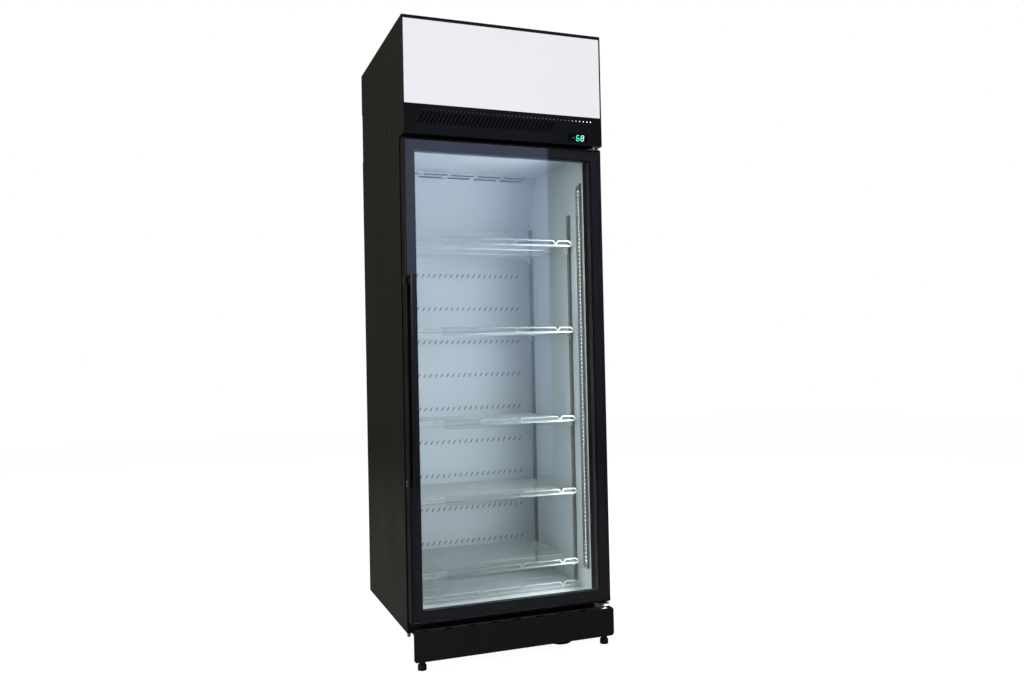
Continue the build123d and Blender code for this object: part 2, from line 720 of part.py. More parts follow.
with BuildPart() as cabinet_screws:
    for y, z in side_screw_places:
        for side in (-1, 1):
            rod((side * half, y, z), (side, 0, 0), side_screw_radius, side_screw_height)
    for side in (-1, 1):
        with BuildSketch(Plane(origin=(side * corner_bolt_x, corner_bolt_y, leg_height),
                               z_dir=(0, 0, -1))):
            RegularPolygon(corner_bolt_radius, 6)
        extrude(amount=corner_bolt_drop)
    bolt_levels = [z_upper_plate + rise for rise in upper_bolt_rises]
    bolt_levels.append(leg_height + hinge_bolt_edge)
    for z in bolt_levels:
        for x in (hinge_left + hinge_bolt_edge, hinge_right - hinge_bolt_edge):
            rod((x, y_cabinet - hinge_plate, z), (0, -1, 0), hinge_bolt_radius, hinge_bolt_height)
save(cabinet_screws, "cabinet_screws")

# ---- shelf standards and clips ----------------------------------------------------------
standard_width = 16.0
standard_depth = 8.0
standard_pitch = 25.0
standard_slot_width = 10.0
standard_slot_height = 7.2
standard_low = z_floor + 3.0
standard_high = z_ceiling - 196.0
standard_front = 45.5           # front wire to the front pair
standard_back = 16.0            # rear wire to the rear pair
y_standards = (y_shelf + standard_front, y_shelf + shelf_depth - standard_back)
clip_width = 10.0
clip_reach = 17.0
clip_drop = 18.0
clip_ledge = 2.0
clip_toe = 4.0
x_standard = inner_half - standard_depth
standard_slots = int((standard_high - standard_low) / standard_pitch) - 1

with BuildPart() as shelf_standards:
    for side in (-1, 1):
        for y in y_standards:
            wall = side * inner_half
            face = side * x_standard
            slab(min(wall, face), max(wall, face), y - standard_width / 2, y + standard_width / 2,
                 standard_low, standard_high)
            hollow = side * (x_standard + sheet)
            slab(min(wall, hollow), max(wall, hollow), y - standard_width / 2 + sheet,
                 y + standard_width / 2 - sheet, standard_low - 1, standard_high + 1,
                 mode=Mode.SUBTRACT)
            with Locations((face, y, (standard_low + standard_high) / 2)):
                with Locations(Plane.YZ):
                    with GridLocations(1, standard_pitch, 1, standard_slots):
                        Box(3 * sheet, standard_slot_width, standard_slot_height,
                            mode=Mode.SUBTRACT)
save(shelf_standards, "shelf_standards")

with BuildPart() as shelf_clips:
    for level in shelf_levels:
        ledge = level - frame_wire - touch
        drop = min(clip_drop, ledge - z_floor - 2)
        for side in (-1, 1):
            for y in y_standards:
                with BuildSketch(Plane.XZ.offset(-(y + clip_width / 2))):
                    with BuildLine():
                        Polyline((side * x_standard, ledge),
                                 (side * (x_standard - clip_reach), ledge),
                                 (side * (x_standard - clip_reach), ledge - clip_ledge),
                                 (side * (x_standard - clip_toe), ledge - drop),
                                 (side * x_standard, ledge - drop), close=True)
                    make_face()
                extrude(amount=clip_width)
save(shelf_clips, "shelf_clips")

# ---- wire shelves -----------------------------------------------------------------------
deck_pitch = 2 * (shelf_half - deck_inset) / (deck_count - 1)
deck_sink = 0.5                 # how far the welded wires sink into each other
rail_wire = 2.0
rail_corner = 11.0
frame_bend = 8.0                # bend radii at the wires' middles
rail_bend = 3.5
dip_half = 9.0
dip_count = 4
dip_pitch = 0.521 * shelf_half
dip_middles = [(i - (dip_count - 1) / 2) * dip_pitch for i in range(dip_count)]
weld_gap = 0.05
y_rail_wire = y_shelf - frame_wire - rail_wire - weld_gap   # welded to the front wire's face
rail_end = shelf_half - rail_corner
y_shelf_back = y_shelf + shelf_depth
deck_rise = frame_wire + deck_wire - deck_sink

rail_points = [(-shelf_half, y_rail_wire, 0), (-rail_end, y_rail_wire, rail_rise)]
for middle in dip_middles:
    rail_points.append((middle - dip_half, y_rail_wire, rail_rise))
    rail_points.append((middle, y_rail_wire, 0))
    rail_points.append((middle + dip_half, y_rail_wire, rail_rise))
rail_points += [(rail_end, y_rail_wire, rail_rise), (shelf_half, y_rail_wire, 0)]
corners = [(-shelf_half, y_shelf, 0), (shelf_half, y_shelf, 0),
           (shelf_half, y_shelf_back, 0), (-shelf_half, y_shelf_back, 0)]

with BuildPart() as guard_rail:
    with BuildLine():
        FilletPolyline(*rail_points, radius=rail_bend)
    with BuildSketch(Plane(origin=rail_points[0],
                           z_dir=Vector(*rail_points[1]) - Vector(*rail_points[0]))):
        Circle(rail_wire)
    sweep()

with BuildPart() as wire_deck:
    with BuildLine():
        FilletPolyline(*corners, radius=frame_bend, close=True)
    with BuildSketch(Plane(origin=(0, y_shelf, 0), z_dir=(1, 0, 0))):
        Circle(frame_wire)
    sweep()
    for y in (y_shelf + shelf_depth / 3, y_shelf + 2 * shelf_depth / 3):
        rod((-shelf_half, y, 0), (1, 0, 0), cross_wire, 2 * shelf_half)
    with Locations((0, (y_shelf + y_shelf_back) / 2, deck_rise)):
        with GridLocations(deck_pitch, 1, deck_count, 1):
            Cylinder(deck_wire, shelf_depth, rotation=(90, 0, 0))

for number, level in enumerate(shelf_levels, start=1):
    with BuildPart() as shelf:
        with Locations((0, 0, level)):
            add(wire_deck.part)
            add(guard_rail.part)
    save(shelf, "shelf_" + str(number))

strip_sheet = 1.6
strip_below = 10.0
strip_gap = 0.4
hook_reach = 8.0
label_lip = 2.0                 # how far the lips that hold a label stand out
label_lip_sheet = 1.0
label_lip_height = 4.0
upper_lip_drop = 3.0
strip_half = shelf_half - strip_short
y_strip = y_rail_wire - rail_wire - strip_gap - strip_sheet
for number, level in enumerate(shelf_levels[:-1], start=1):
    low = level - strip_below
    hook_top = level + rail_rise + rail_wire + strip_gap + strip_sheet
    with BuildPart() as strip:
        slab(-strip_half, strip_half, y_strip, y_strip + strip_sheet, low, hook_top)
        slab(-strip_half, strip_half, y_strip, y_strip + hook_reach, hook_top - strip_sheet, hook_top)
        slab(-strip_half, strip_half, y_strip - label_lip, y_strip, low, low + strip_sheet)
        slab(-strip_half, strip_half, y_strip - label_lip, y_strip - label_lip + label_lip_sheet,
             low, low + label_lip_height)
        z_lip = low + strip_height - upper_lip_drop
        slab(-strip_half, strip_half, y_strip - label_lip, y_strip, z_lip, z_lip + strip_sheet)
    save(strip, "price_strip_" + str(number))

# ---- evaporator at the top of the back --------------------------------------------------
duct_space = 17.0
cover_reach = 112.0             # cover front to the back of the lining
cover_drop = 26.0
slope_drop = 202.0
duct_sheet = 1.4
duct_foot = 4.0
duct_side = 1.5
return_slot = 89.0
return_pitch = 106.0
return_slot_height = 5.0
return_shift = 17.0
duct_slot_rise = 15.0
duct_slot_lean = 9.0
duct_slot_width = 4.0
duct_slot_pitch = 22.5
duct_slot_columns = 23
duct_row_first = 103.0
duct_row_pitch = 127.5
duct_row_clear = 60.0           # the last row stays this far below the bend
return_drops = (8.0, 19.0)      # below the ceiling, upper and lower row
return_columns = 5
y_duct = y_inner_back - duct_space
y_cover = y_inner_back - cover_reach
z_cover = z_ceiling - cover_drop
z_bend = z_ceiling - slope_drop
duct_rows = int((z_bend - z_floor - duct_row_first - duct_row_clear) / duct_row_pitch) + 1
duct_half = inner_half - duct_side

with BuildPart() as duct_panel:
    with BuildSketch(Plane.YZ.offset(-duct_half)):
        with BuildLine():
            fold = [(y_cover, z_ceiling), (y_cover, z_cover), (y_duct, z_bend),
                    (y_duct, z_floor + duct_foot)]
            back = [(y + duct_sheet, z) for y, z in reversed(fold)]
            Polyline(*fold, *back, close=True)
        make_face()
    extrude(amount=2 * duct_half)
    with BuildSketch(Plane.XZ.offset(-(y_duct - 1))):
        with Locations(*[(0, z_floor + duct_row_first + i * duct_row_pitch)
                         for i in range(duct_rows)]):
            with GridLocations(duct_slot_pitch, 1, duct_slot_columns, 1):
                SlotOverall(math.hypot(duct_slot_rise, duct_slot_lean), duct_slot_width,
                            rotation=math.degrees(math.atan2(duct_slot_rise, duct_slot_lean)))
    extrude(amount=-(duct_sheet + 2), mode=Mode.SUBTRACT)
    with BuildSketch(Plane.XZ.offset(-(y_cover - 1))):
        for shift, drop in zip((0, -return_shift), return_drops):
            with Locations((shift, z_ceiling - drop)):
                with GridLocations(return_pitch, 1, return_columns, 1):
                    SlotOverall(return_slot, return_slot_height)
    extrude(amount=-(duct_sheet + 2), mode=Mode.SUBTRACT)
save(duct_panel, "duct_panel")

coil_half = 200.0
coil_depth = 32.0
coil_height = 128.0
coil_back_gap = 2.0
coil_top_gap = 10.0
y_coil = y_inner_back - coil_back_gap - coil_depth
z_coil = z_ceiling - coil_top_gap - coil_height
fin_pitch = 10.0
fin_gap = 3.0
fin_end = 10.0                  # coil end to the first gap between fins, at least
fin_cut = 0.7                   # depth of the gaps, as a share of the coil's
tube_radius = 4.0
tube_rows = 4
tube_out = 10.0                 # how far the tubes stand out of the coil's ends
tube_place = 0.65               # depth of the tubes in the coil, as a share

with BuildPart() as evaporator_coil:
    slab(-coil_half, coil_half, y_coil, y_coil + coil_depth, z_coil, z_coil + coil_height)
    fin_count = int((2 * coil_half - 2 * fin_end) / fin_pitch)
    with Locations((0, y_coil, z_coil + coil_height / 2)):
        with GridLocations(fin_pitch, 1, fin_count, 1):
            Box(fin_gap, coil_depth * fin_cut, coil_height + 2, mode=Mode.SUBTRACT)
    for row in range(tube_rows):
        z = z_coil + coil_height * (row + 0.5) / tube_rows
        rod((-coil_half - tube_out, y_coil + coil_depth * tube_place, z), (1, 0, 0),
            tube_radius, 2 * (coil_half + tube_out))
save(evaporator_coil, "evaporator_coil")


blade_sheet = 1.6
blade_pitch = 28.0
blade_hub_share = 0.9           # a blade's width: these shares of the hub's and the fan's radius
blade_fan_share = 0.25
blade_count = 5


def fan_blades(centre, radius, hub_radius, depth, bore_radius):
    """A hub with pitched blades round a shaft along Y, blowing to the front."""
    axle = Plane(origin=centre, x_dir=(1, 0, 0), z_dir=(0, -1, 0))
    with Locations(axle):
        Cylinder(hub_radius, depth)
        with PolarLocations((radius + hub_radius) / 2 - 1, blade_count):
            Box(radius - hub_radius + 2, blade_hub_share * hub_radius + blade_fan_share * radius,
                blade_sheet, rotation=(blade_pitch, 0, 0))
        Cylinder(bore_radius, 3 * depth, mode=Mode.SUBTRACT)


shaft_radius = 2.5
small_fan_radius = 37.0
small_hub_radius = 11.0
small_fan_depth = 14.0
y_small_fan = y_coil - 38.0
z_small_fan = z_ceiling - 44.0
big_fan_radius = 95.0
big_hub_radius = 24.0
big_fan_depth = 34.0
big_fan_gap = 40.0              # condenser to the middle of its fan
condenser_front_gap = 40.0
condenser_x = -40.0
condenser_half = 150.0
condenser_depth = 44.0
condenser_height = 225.0
condenser_rise = 8.0
y_condenser = y_hood + condenser_front_gap
z_big_fan = z_cabinet_top + condenser_rise + condenser_height / 2
y_big_fan = y_condenser + condenser_depth + big_fan_gap

with BuildPart() as evaporator_fan:
    fan_blades((0, y_small_fan, z_small_fan), small_fan_radius, small_hub_radius,
               small_fan_depth, shaft_radius + running_gap)
save(evaporator_fan, "evaporator_fan")

with BuildPart() as condenser_fan:
    fan_blades((condenser_x, y_big_fan, z_big_fan), big_fan_radius, big_hub_radius,
               big_fan_depth, shaft_radius + running_gap)
save(condenser_fan, "condenser_fan")

motor_radius = 19.0
small_motor_length = 20.0
big_motor_length = 48.0
motor_gap = 3.0
small_arm_half = 8.0            # the arm that holds the small motor to the coil
small_arm_lap = 2.0
big_arm_half = 25.0             # the upright that holds the large motor
big_arm_front = 8.0
big_arm_depth = 24.0

with BuildPart() as fan_motors:
    small_start = y_small_fan + small_fan_depth / 2 + motor_gap
    rod((0, small_start, z_small_fan), (0, 1, 0), motor_radius, small_motor_length)
    slab(-small_arm_half, small_arm_half, small_start + small_motor_length - small_arm_lap, y_coil,
         z_small_fan - small_arm_half, z_small_fan + small_arm_half)
    rod((0, y_small_fan - small_fan_depth / 2, z_small_fan), (0, 1, 0), shaft_radius,
        small_fan_depth + motor_gap + 1)
    big_start = y_big_fan + big_fan_depth / 2 + motor_gap
    rod((condenser_x, big_start, z_big_fan), (0, 1, 0), 2 * motor_radius, big_motor_length)
    rod((condenser_x, y_big_fan - big_fan_depth / 2, z_big_fan), (0, 1, 0), shaft_radius,
        big_fan_depth + motor_gap + 1)
    slab(condenser_x - big_arm_half, condenser_x + big_arm_half, big_start + big_arm_front,
         big_start + big_arm_front + big_arm_depth, z_cabinet_top, z_big_fan - motor_radius)
save(fan_motors, "fan_motors")

tray_half = coil_half + 14.0
tray_height = 14.0
tray_wall = 1.5
tray_gap = 4.0
tray_depth = 33.0
z_tray = z_coil - tray_gap - tray_height
y_tray = y_inner_back - tray_depth
cup_radius = 40.0
cup_x = drain_x
cup_y = y_canopy + 62.0
cup_low = 8.0
cup_top = 60.0
cup_wall = 2.0
cup_floor = 7.0
cup_round = 6.0
cup_lug_half = 6.0
cup_lug_height = 20.0
hose_drop = 22.0                # cabinet underside to the hose's lowest run
hose_end = 14.0                 # the hose ends this far below the cup's rim
hose_low = leg_height - hose_drop

with BuildPart() as drain_line:
    slab(-tray_half, tray_half, y_tray, y_inner_back - 1, z_tray, z_tray + tray_height)
    slab(-tray_half + tray_wall, tray_half - tray_wall, y_tray + tray_wall,
         y_inner_back - 1 - tray_wall, z_tray + tray_wall, z_tray + tray_height + 1,
         mode=Mode.SUBTRACT)
    tube_run([(drain_x, drain_y, z_tray + 1), (drain_x, drain_y, hose_low),
              (drain_x, cup_y, hose_low), (drain_x, cup_y, cup_top - hose_end)], drain_radius)
save(drain_line, "drain_line")

with BuildPart() as condensate_cup:
    with BuildSketch(Plane.XY.offset(cup_low)):
        with Locations((cup_x, cup_y)):
            Circle(cup_radius)
    extrude(amount=cup_top - cup_low)
    fillet(condensate_cup.edges().group_by(Axis.Z)[0], cup_round)
    with BuildSketch(Plane.XY.offset(cup_low + cup_floor)):
        with Locations((cup_x, cup_y)):
            Circle(cup_radius - cup_wall)
    extrude(amount=cup_top - cup_low, mode=Mode.SUBTRACT)
    for side in (-1, 1):
        lug = cup_x + side * (cup_radius - cup_wall)
        slab(lug - cup_wall, lug + cup_wall, cup_y - cup_lug_half, cup_y + cup_lug_half,
             cup_top - cup_lug_height, leg_height - plate)
save(condensate_cup, "condensate_cup")

# ---- condensing unit --------------------------------------------------------------------
condenser_fin_end = 6.0         # solid metal above and below the gaps
side_plate = 4.0
side_plate_depth = 114.0        # the side plates run on to hold the fan

with BuildPart() as condenser_coil:
    z_low = z_cabinet_top + condenser_rise
    slab(condenser_x - condenser_half, condenser_x + condenser_half, y_condenser,
         y_condenser + condenser_depth, z_low, z_low + condenser_height)
    condenser_fins = int((2 * condenser_half - 2 * fin_end) / fin_pitch)
    with Locations((condenser_x, y_condenser, z_low + condenser_height / 2)):
        with GridLocations(fin_pitch, 1, condenser_fins, 1):
            Box(fin_gap, condenser_depth, condenser_height - 2 * condenser_fin_end,
                mode=Mode.SUBTRACT)
    for edge in (condenser_x - condenser_half, condenser_x + condenser_half - side_plate):
        slab(edge, edge + side_plate, y_condenser, y_condenser + side_plate_depth,
             z_cabinet_top, z_low + condenser_height)
save(condenser_coil, "condenser_coil")

compressor_x = 200.0
compressor_back_gap = 190.0
compressor_radius = 72.0
compressor_height = 150.0
can_round_top = 40.0
can_round_base = 12.0
can_sink = 1.0                  # how far the can sits in its foot plate
foot_plate = 4.0
foot_plate_half_width = 95.0
foot_plate_half_depth = 60.0
grommet_height = 14.0
grommet_radius = 11.0
grommet_spread_x = 164.0
grommet_spread_y = 94.0
compressor_y = y_back - compressor_back_gap
z_foot_plate = z_cabinet_top + grommet_height

with BuildPart() as compressor:
    rod((compressor_x, compressor_y, z_foot_plate + foot_plate - can_sink), (0, 0, 1),
        compressor_radius, compressor_height)
    fillet(compressor.edges().group_by(Axis.Z)[-1], can_round_top)
    fillet(compressor.edges().group_by(Axis.Z)[0], can_round_base)
    slab(compressor_x - foot_plate_half_width, compressor_x + foot_plate_half_width,
         compressor_y - foot_plate_half_depth, compressor_y + foot_plate_half_depth,
         z_foot_plate, z_foot_plate + foot_plate)
    with Locations((compressor_x, compressor_y, z_cabinet_top + grommet_height / 2)):
        with GridLocations(grommet_spread_x, grommet_spread_y, 2, 2):
            Cylinder(grommet_radius, grommet_height)
save(compressor, "compressor")

pipe_radius = 3.5
drier_radius = 11.0
drier_length = 70.0
drier_start = 50.0              # condenser front to the drier
hot_pipe_rise = 90.0
cold_pipe_rise = 40.0
pipe_entry = 20.0               # condenser front to where both pipes enter it
hot_pipe_out = 40.0             # compressor to the first bend
hot_pipe_side = 20.0            # condenser side to the pipe beside it
hot_pipe_turn = 140.0
cold_pipe_side = 60.0
cold_pipe_turn = 150.0

with BuildPart() as refrigerant_pipes:
    z_hot = z_cabinet_top + hot_pipe_rise
    z_cold = z_cabinet_top + cold_pipe_rise
    x_can = compressor_x - compressor_radius
    x_coil = condenser_x + condenser_half
    y_entry = y_condenser + pipe_entry
    y_hot = y_condenser + hot_pipe_turn
    y_cold = y_condenser + cold_pipe_turn
    x_cold = x_coil + cold_pipe_side
    tube_run([(x_can, compressor_y, z_hot), (x_can - hot_pipe_out, compressor_y, z_hot),
              (x_can - hot_pipe_out, y_hot, z_hot), (x_coil + hot_pipe_side, y_hot, z_hot),
              (x_coil + hot_pipe_side, y_entry, z_hot), (x_coil, y_entry, z_hot)], pipe_radius)
    tube_run([(x_coil, y_entry, z_cold), (x_cold, y_entry, z_cold), (x_cold, y_cold, z_cold),
              (x_cold, y_cold, z_cabinet_top)], pipe_radius)
    rod((x_cold, y_condenser + drier_start, z_cold), (0, 1, 0), drier_radius, drier_length)
save(refrigerant_pipes, "refrigerant_pipes")
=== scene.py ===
import math

import bmesh
import bpy
from mathutils import Matrix, Vector


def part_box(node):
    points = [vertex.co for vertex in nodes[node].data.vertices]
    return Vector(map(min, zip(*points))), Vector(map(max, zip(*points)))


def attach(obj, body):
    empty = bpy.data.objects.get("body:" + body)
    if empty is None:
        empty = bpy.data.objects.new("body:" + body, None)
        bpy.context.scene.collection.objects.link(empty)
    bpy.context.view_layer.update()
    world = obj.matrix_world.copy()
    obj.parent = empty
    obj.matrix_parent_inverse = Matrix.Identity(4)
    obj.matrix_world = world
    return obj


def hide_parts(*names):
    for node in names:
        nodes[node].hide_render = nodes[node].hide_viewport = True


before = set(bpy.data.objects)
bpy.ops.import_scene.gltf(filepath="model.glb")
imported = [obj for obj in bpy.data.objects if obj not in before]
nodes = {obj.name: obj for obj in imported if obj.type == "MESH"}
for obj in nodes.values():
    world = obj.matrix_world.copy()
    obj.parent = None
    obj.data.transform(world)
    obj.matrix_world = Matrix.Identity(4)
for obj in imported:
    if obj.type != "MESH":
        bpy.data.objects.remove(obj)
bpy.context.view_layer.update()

# ---- Studio -----------------------------------------------------------------------------
# A pale floor and a white room, one tall soft card that shows in the door glass, and
# three wide soft lamps: on the left, high in front and behind, so no side is left black.

scene = bpy.context.scene
scene.view_settings.view_transform = "Standard"


def link(obj):
    scene.collection.objects.link(obj)
    return obj


def soft_lamp(name, place, target, width, height, watts, colour):
    lamp = bpy.data.lights.new(name, "AREA")
    lamp.shape = "RECTANGLE"
    lamp.size, lamp.size_y = width, height
    lamp.energy, lamp.color = watts, colour
    obj = link(bpy.data.objects.new(name, lamp))
    obj.location = place
    obj.rotation_euler = (Vector(target) - Vector(place)).to_track_quat("-Z", "Y").to_euler()
    return obj


eye = Vector((-1.0071, -3.0027, 0.9599))
yaw, pitch, roll = 0.3591, 0.0202, -0.0208
ahead = Vector((math.sin(yaw) * math.cos(pitch), math.cos(yaw) * math.cos(pitch), math.sin(pitch)))
level = Vector((math.cos(yaw), -math.sin(yaw), 0.0))
over = level.cross(ahead)
across = level * math.cos(roll) + over * math.sin(roll)
upright = over * math.cos(roll) - level * math.sin(roll)
camera = link(bpy.data.objects.new("camera", bpy.data.cameras.new("camera")))
camera.data.sensor_width = 36.0
camera.data.lens = 31.13
camera.data.clip_end = 60.0
camera.matrix_world = Matrix((
    (across.x, upright.x, -ahead.x, eye.x),
    (across.y, upright.y, -ahead.y, eye.y),
    (across.z, upright.z, -ahead.z, eye.z),
    (0.0, 0.0, 0.0, 1.0)))
scene.camera = camera


def node(tree, kind, settings=(), **values):
    """A shader node, with its own settings and the values of its inputs by name."""
    made = tree.nodes.new("ShaderNode" + kind)
    for key, value in dict(settings).items():
        setattr(made, key, value)
    for key, value in values.items():
        made.inputs[key.replace("_", " ")].default_value = value
    return made


def wire(tree, source, target):
    tree.links.new(source, target)


room = bpy.data.worlds.new("room")
room.use_nodes = True
scene.world = room
tree = room.node_tree
tree.nodes.clear()
seen = node(tree, "Background", Color=(1.0, 1.0, 1.0, 1.0), Strength=1.0)
bounce = node(tree, "Background", Color=(0.055, 0.053, 0.05, 1.0), Strength=1.0)
path = node(tree, "LightPath")
either = node(tree, "MixShader")
world_out = node(tree, "OutputWorld")
wire(tree, path.outputs["Is Camera Ray"], either.inputs[0])
wire(tree, bounce.outputs[0], either.inputs[1])
wire(tree, seen.outputs[0], either.inputs[2])
wire(tree, either.outputs[0], world_out.inputs["Surface"])


def stage_plane(name, corners, material):
    mesh = bpy.data.meshes.new(name)
    mesh.from_pydata(corners, [], [(0, 1, 2, 3)])
    obj = link(bpy.data.objects.new(name, mesh))
    mesh.materials.append(material)
    return obj


pale = bpy.data.materials.new("pale_floor")
pale.use_nodes = True
tree = pale.node_tree
tree.nodes.clear()
grain = node(tree, "TexNoise", Scale=2.0)
tone = node(tree, "ValToRGB")
tone.color_ramp.elements[0].color = (0.2, 0.2, 0.2, 1.0)
tone.color_ramp.elements[1].color = (0.22, 0.22, 0.22, 1.0)
matte = node(tree, "BsdfDiffuse")
glow = node(tree, "Emission", Color=(1.0, 1.0, 1.0, 1.0), Strength=0.97)
path = node(tree, "LightPath")
lit = node(tree, "AddShader")
either = node(tree, "MixShader")
out = node(tree, "OutputMaterial")
wire(tree, grain.outputs["Fac"], tone.inputs[0])
wire(tree, tone.outputs[0], matte.inputs["Color"])
wire(tree, matte.outputs[0], lit.inputs[0])
wire(tree, glow.outputs[0], lit.inputs[1])
wire(tree, path.outputs["Is Camera Ray"], either.inputs[0])
wire(tree, matte.outputs[0], either.inputs[1])
wire(tree, lit.outputs[0], either.inputs[2])
wire(tree, either.outputs[0], out.inputs["Surface"])
floor_reach = 9.0
stage_plane("floor", [(-floor_reach, -floor_reach, 0.0), (floor_reach, -floor_reach, 0.0),
                      (floor_reach, floor_reach, 0.0), (-floor_reach, floor_reach, 0.0)], pale)

card_light = bpy.data.materials.new("card_light")
card_light.use_nodes = True
tree = card_light.node_tree
tree.nodes.clear()
height_map = node(tree, "TexCoord")
height = node(tree, "SeparateXYZ")
fade = node(tree, "MapRange", From_Min=0.0, From_Max=2.2, To_Min=0.35, To_Max=1.25)
glow = node(tree, "Emission", Color=(0.56, 0.66, 1.0, 1.0))
out = node(tree, "OutputMaterial")
wire(tree, height_map.outputs["Object"], height.inputs[0])
wire(tree, height.outputs["Z"], fade.inputs["Value"])
wire(tree, fade.outputs[0], glow.inputs["Strength"])
wire(tree, glow.outputs[0], out.inputs["Surface"])
card_left, card_right, card_y, card_top = 0.64, 1.86, -4.31, 3.4
card = stage_plane("card", [(card_left, card_y, 0.0), (card_right, card_y, 0.0),
                            (card_right, card_y, card_top), (card_left, card_y, card_top)], card_light)
card.visible_camera = False

half_up = (0.0, 0.0, 1.0)
soft_lamp("left_lamp", (-3.8, -1.2, 2.6), half_up, 1.6, 2.6, 120.0, (1.0, 0.95, 0.86))
front_lamp = soft_lamp("front_lamp", (1.0, -3.0, 4.9), half_up, 2.0, 1.4, 34.0, (1.0, 0.99, 0.98))
front_lamp.visible_glossy = False
soft_lamp("rear_lamp", (1.4, 3.6, 3.4), (0.0, 0.3, 1.0), 2.4, 2.0, 90.0, (1.0, 0.98, 0.95))

# ---- Outer cabinet ----------------------------------------------------------------------
# Folded sheet steel round the insulated box, with a separate back sheet. Black powder coat
# with a fine orange peel, rubbed a little along its folds.


def effect(name, inputs, outputs):
    """A new shader node group with named inputs and outputs."""
    group = bpy.data.node_groups.new(name, "ShaderNodeTree")
    for label, kind, value in inputs:
        made = group.interface.new_socket(label, in_out="INPUT", socket_type="NodeSocket" + kind)
        made.default_value = value
    for label, kind in outputs:
        group.interface.new_socket(label, in_out="OUTPUT", socket_type="NodeSocket" + kind)
    return group, group.nodes.new("NodeGroupInput"), group.nodes.new("NodeGroupOutput")


def place(tree, group, **values):
    """The node group in a material, with its own values."""
    made = tree.nodes.new("ShaderNodeGroup")
    made.node_tree = group
    for key, value in values.items():
        made.inputs[key.replace("_", " ")].default_value = value
    return made


def finish(name, **values):
    """A material with one Principled shader, and its own constant values."""
    made = bpy.data.materials.new(name)
    made.use_nodes = True
    tree = made.node_tree
    shader = tree.nodes["Principled BSDF"]
    for key, value in values.items():
        shader.inputs[key.replace("_", " ")].default_value = value
    return made, tree, shader


def dress(material, *names):
    for name in names:
        nodes[name].data.materials.clear()
        nodes[name].data.materials.append(material)


def soften(width, *names):
    """Rounds the folds and cut edges of sheet and moulded pieces."""
    for name in names:
        weld = nodes[name].modifiers.new("weld", "WELD")
        weld.merge_threshold = 0.00001
        bevel = nodes[name].modifiers.new("edge", "BEVEL")
        bevel.width = width
        bevel.segments = 2
        bevel.limit_method = "ANGLE"
        bevel.angle_limit = math.radians(40.0)
        bevel.use_clamp_overlap = True
        bevel.harden_normals = True


sprayed_skin, gin, gout = effect(
    "sprayed_skin",
    [("Scale", "Float", 900.0), ("Bump", "Float", 0.1), ("Low", "Float", 0.3),
     ("High", "Float", 0.4)],
    [("Normal", "Vector"), ("Roughness", "Float"), ("Patches", "Float")])
where = node(sprayed_skin, "TexCoord")
peel = node(sprayed_skin, "TexNoise", Detail=2.0, Roughness=0.5)
swell = node(sprayed_skin, "TexNoise", Scale=3.5, Detail=4.0, Roughness=0.55)
raised = node(sprayed_skin, "Bump", Distance=0.0004)
sheen = node(sprayed_skin, "MapRange", From_Min=0.3, From_Max=0.7)
wire(sprayed_skin, where.outputs["Object"], peel.inputs["Vector"])
wire(sprayed_skin, where.outputs["Object"], swell.inputs["Vector"])
wire(sprayed_skin, gin.outputs["Scale"], peel.inputs["Scale"])
wire(sprayed_skin, peel.outputs["Fac"], raised.inputs["Height"])
wire(sprayed_skin, gin.outputs["Bump"], raised.inputs["Strength"])
wire(sprayed_skin, swell.outputs["Fac"], sheen.inputs["Value"])
wire(sprayed_skin, gin.outputs["Low"], sheen.inputs["To Min"])
wire(sprayed_skin, gin.outputs["High"], sheen.inputs["To Max"])
wire(sprayed_skin, raised.outputs["Normal"], gout.inputs["Normal"])
wire(sprayed_skin, sheen.outputs[0], gout.inputs["Roughness"])
wire(sprayed_skin, swell.outputs["Fac"], gout.inputs["Patches"])

rubbed_edge, gin, gout = effect(
    "rubbed_edge",
    [("Colour", "Color", (0.0, 0.0, 0.0, 1.0)), ("Worn", "Color", (0.2, 0.2, 0.2, 1.0)),
     ("Width", "Float", 0.002), ("Amount", "Float", 0.5)],
    [("Colour", "Color"), ("Mask", "Float")])
rounded = node(rubbed_edge, "Bevel", {"samples": 3})
flat = node(rubbed_edge, "NewGeometry")
turn = node(rubbed_edge, "VectorMath", {"operation": "DOT_PRODUCT"})
edge = node(rubbed_edge, "MapRange", From_Min=0.995, From_Max=0.8, To_Min=0.0, To_Max=1.0)
where = node(rubbed_edge, "TexCoord")
scuff = node(rubbed_edge, "TexNoise", Scale=55.0, Detail=5.0, Roughness=0.7)
patchy = node(rubbed_edge, "MapRange", From_Min=0.45, From_Max=0.7)
both = node(rubbed_edge, "Math", {"operation": "MULTIPLY"})
share = node(rubbed_edge, "Math", {"operation": "MULTIPLY", "use_clamp": True})
blend = node(rubbed_edge, "Mix", {"data_type": "RGBA"})
wire(rubbed_edge, gin.outputs["Width"], rounded.inputs["Radius"])
wire(rubbed_edge, rounded.outputs[0], turn.inputs[0])
wire(rubbed_edge, flat.outputs["Normal"], turn.inputs[1])
wire(rubbed_edge, turn.outputs["Value"], edge.inputs["Value"])
wire(rubbed_edge, where.outputs["Object"], scuff.inputs["Vector"])
wire(rubbed_edge, scuff.outputs["Fac"], patchy.inputs["Value"])
wire(rubbed_edge, edge.outputs[0], both.inputs[0])
wire(rubbed_edge, patchy.outputs[0], both.inputs[1])
wire(rubbed_edge, both.outputs[0], share.inputs[0])
wire(rubbed_edge, gin.outputs["Amount"], share.inputs[1])
wire(rubbed_edge, share.outputs[0], blend.inputs["Factor"])
wire(rubbed_edge, gin.outputs["Colour"], blend.inputs[6])
wire(rubbed_edge, gin.outputs["Worn"], blend.inputs[7])
wire(rubbed_edge, blend.outputs[2], gout.inputs["Colour"])
wire(rubbed_edge, share.outputs[0], gout.inputs["Mask"])

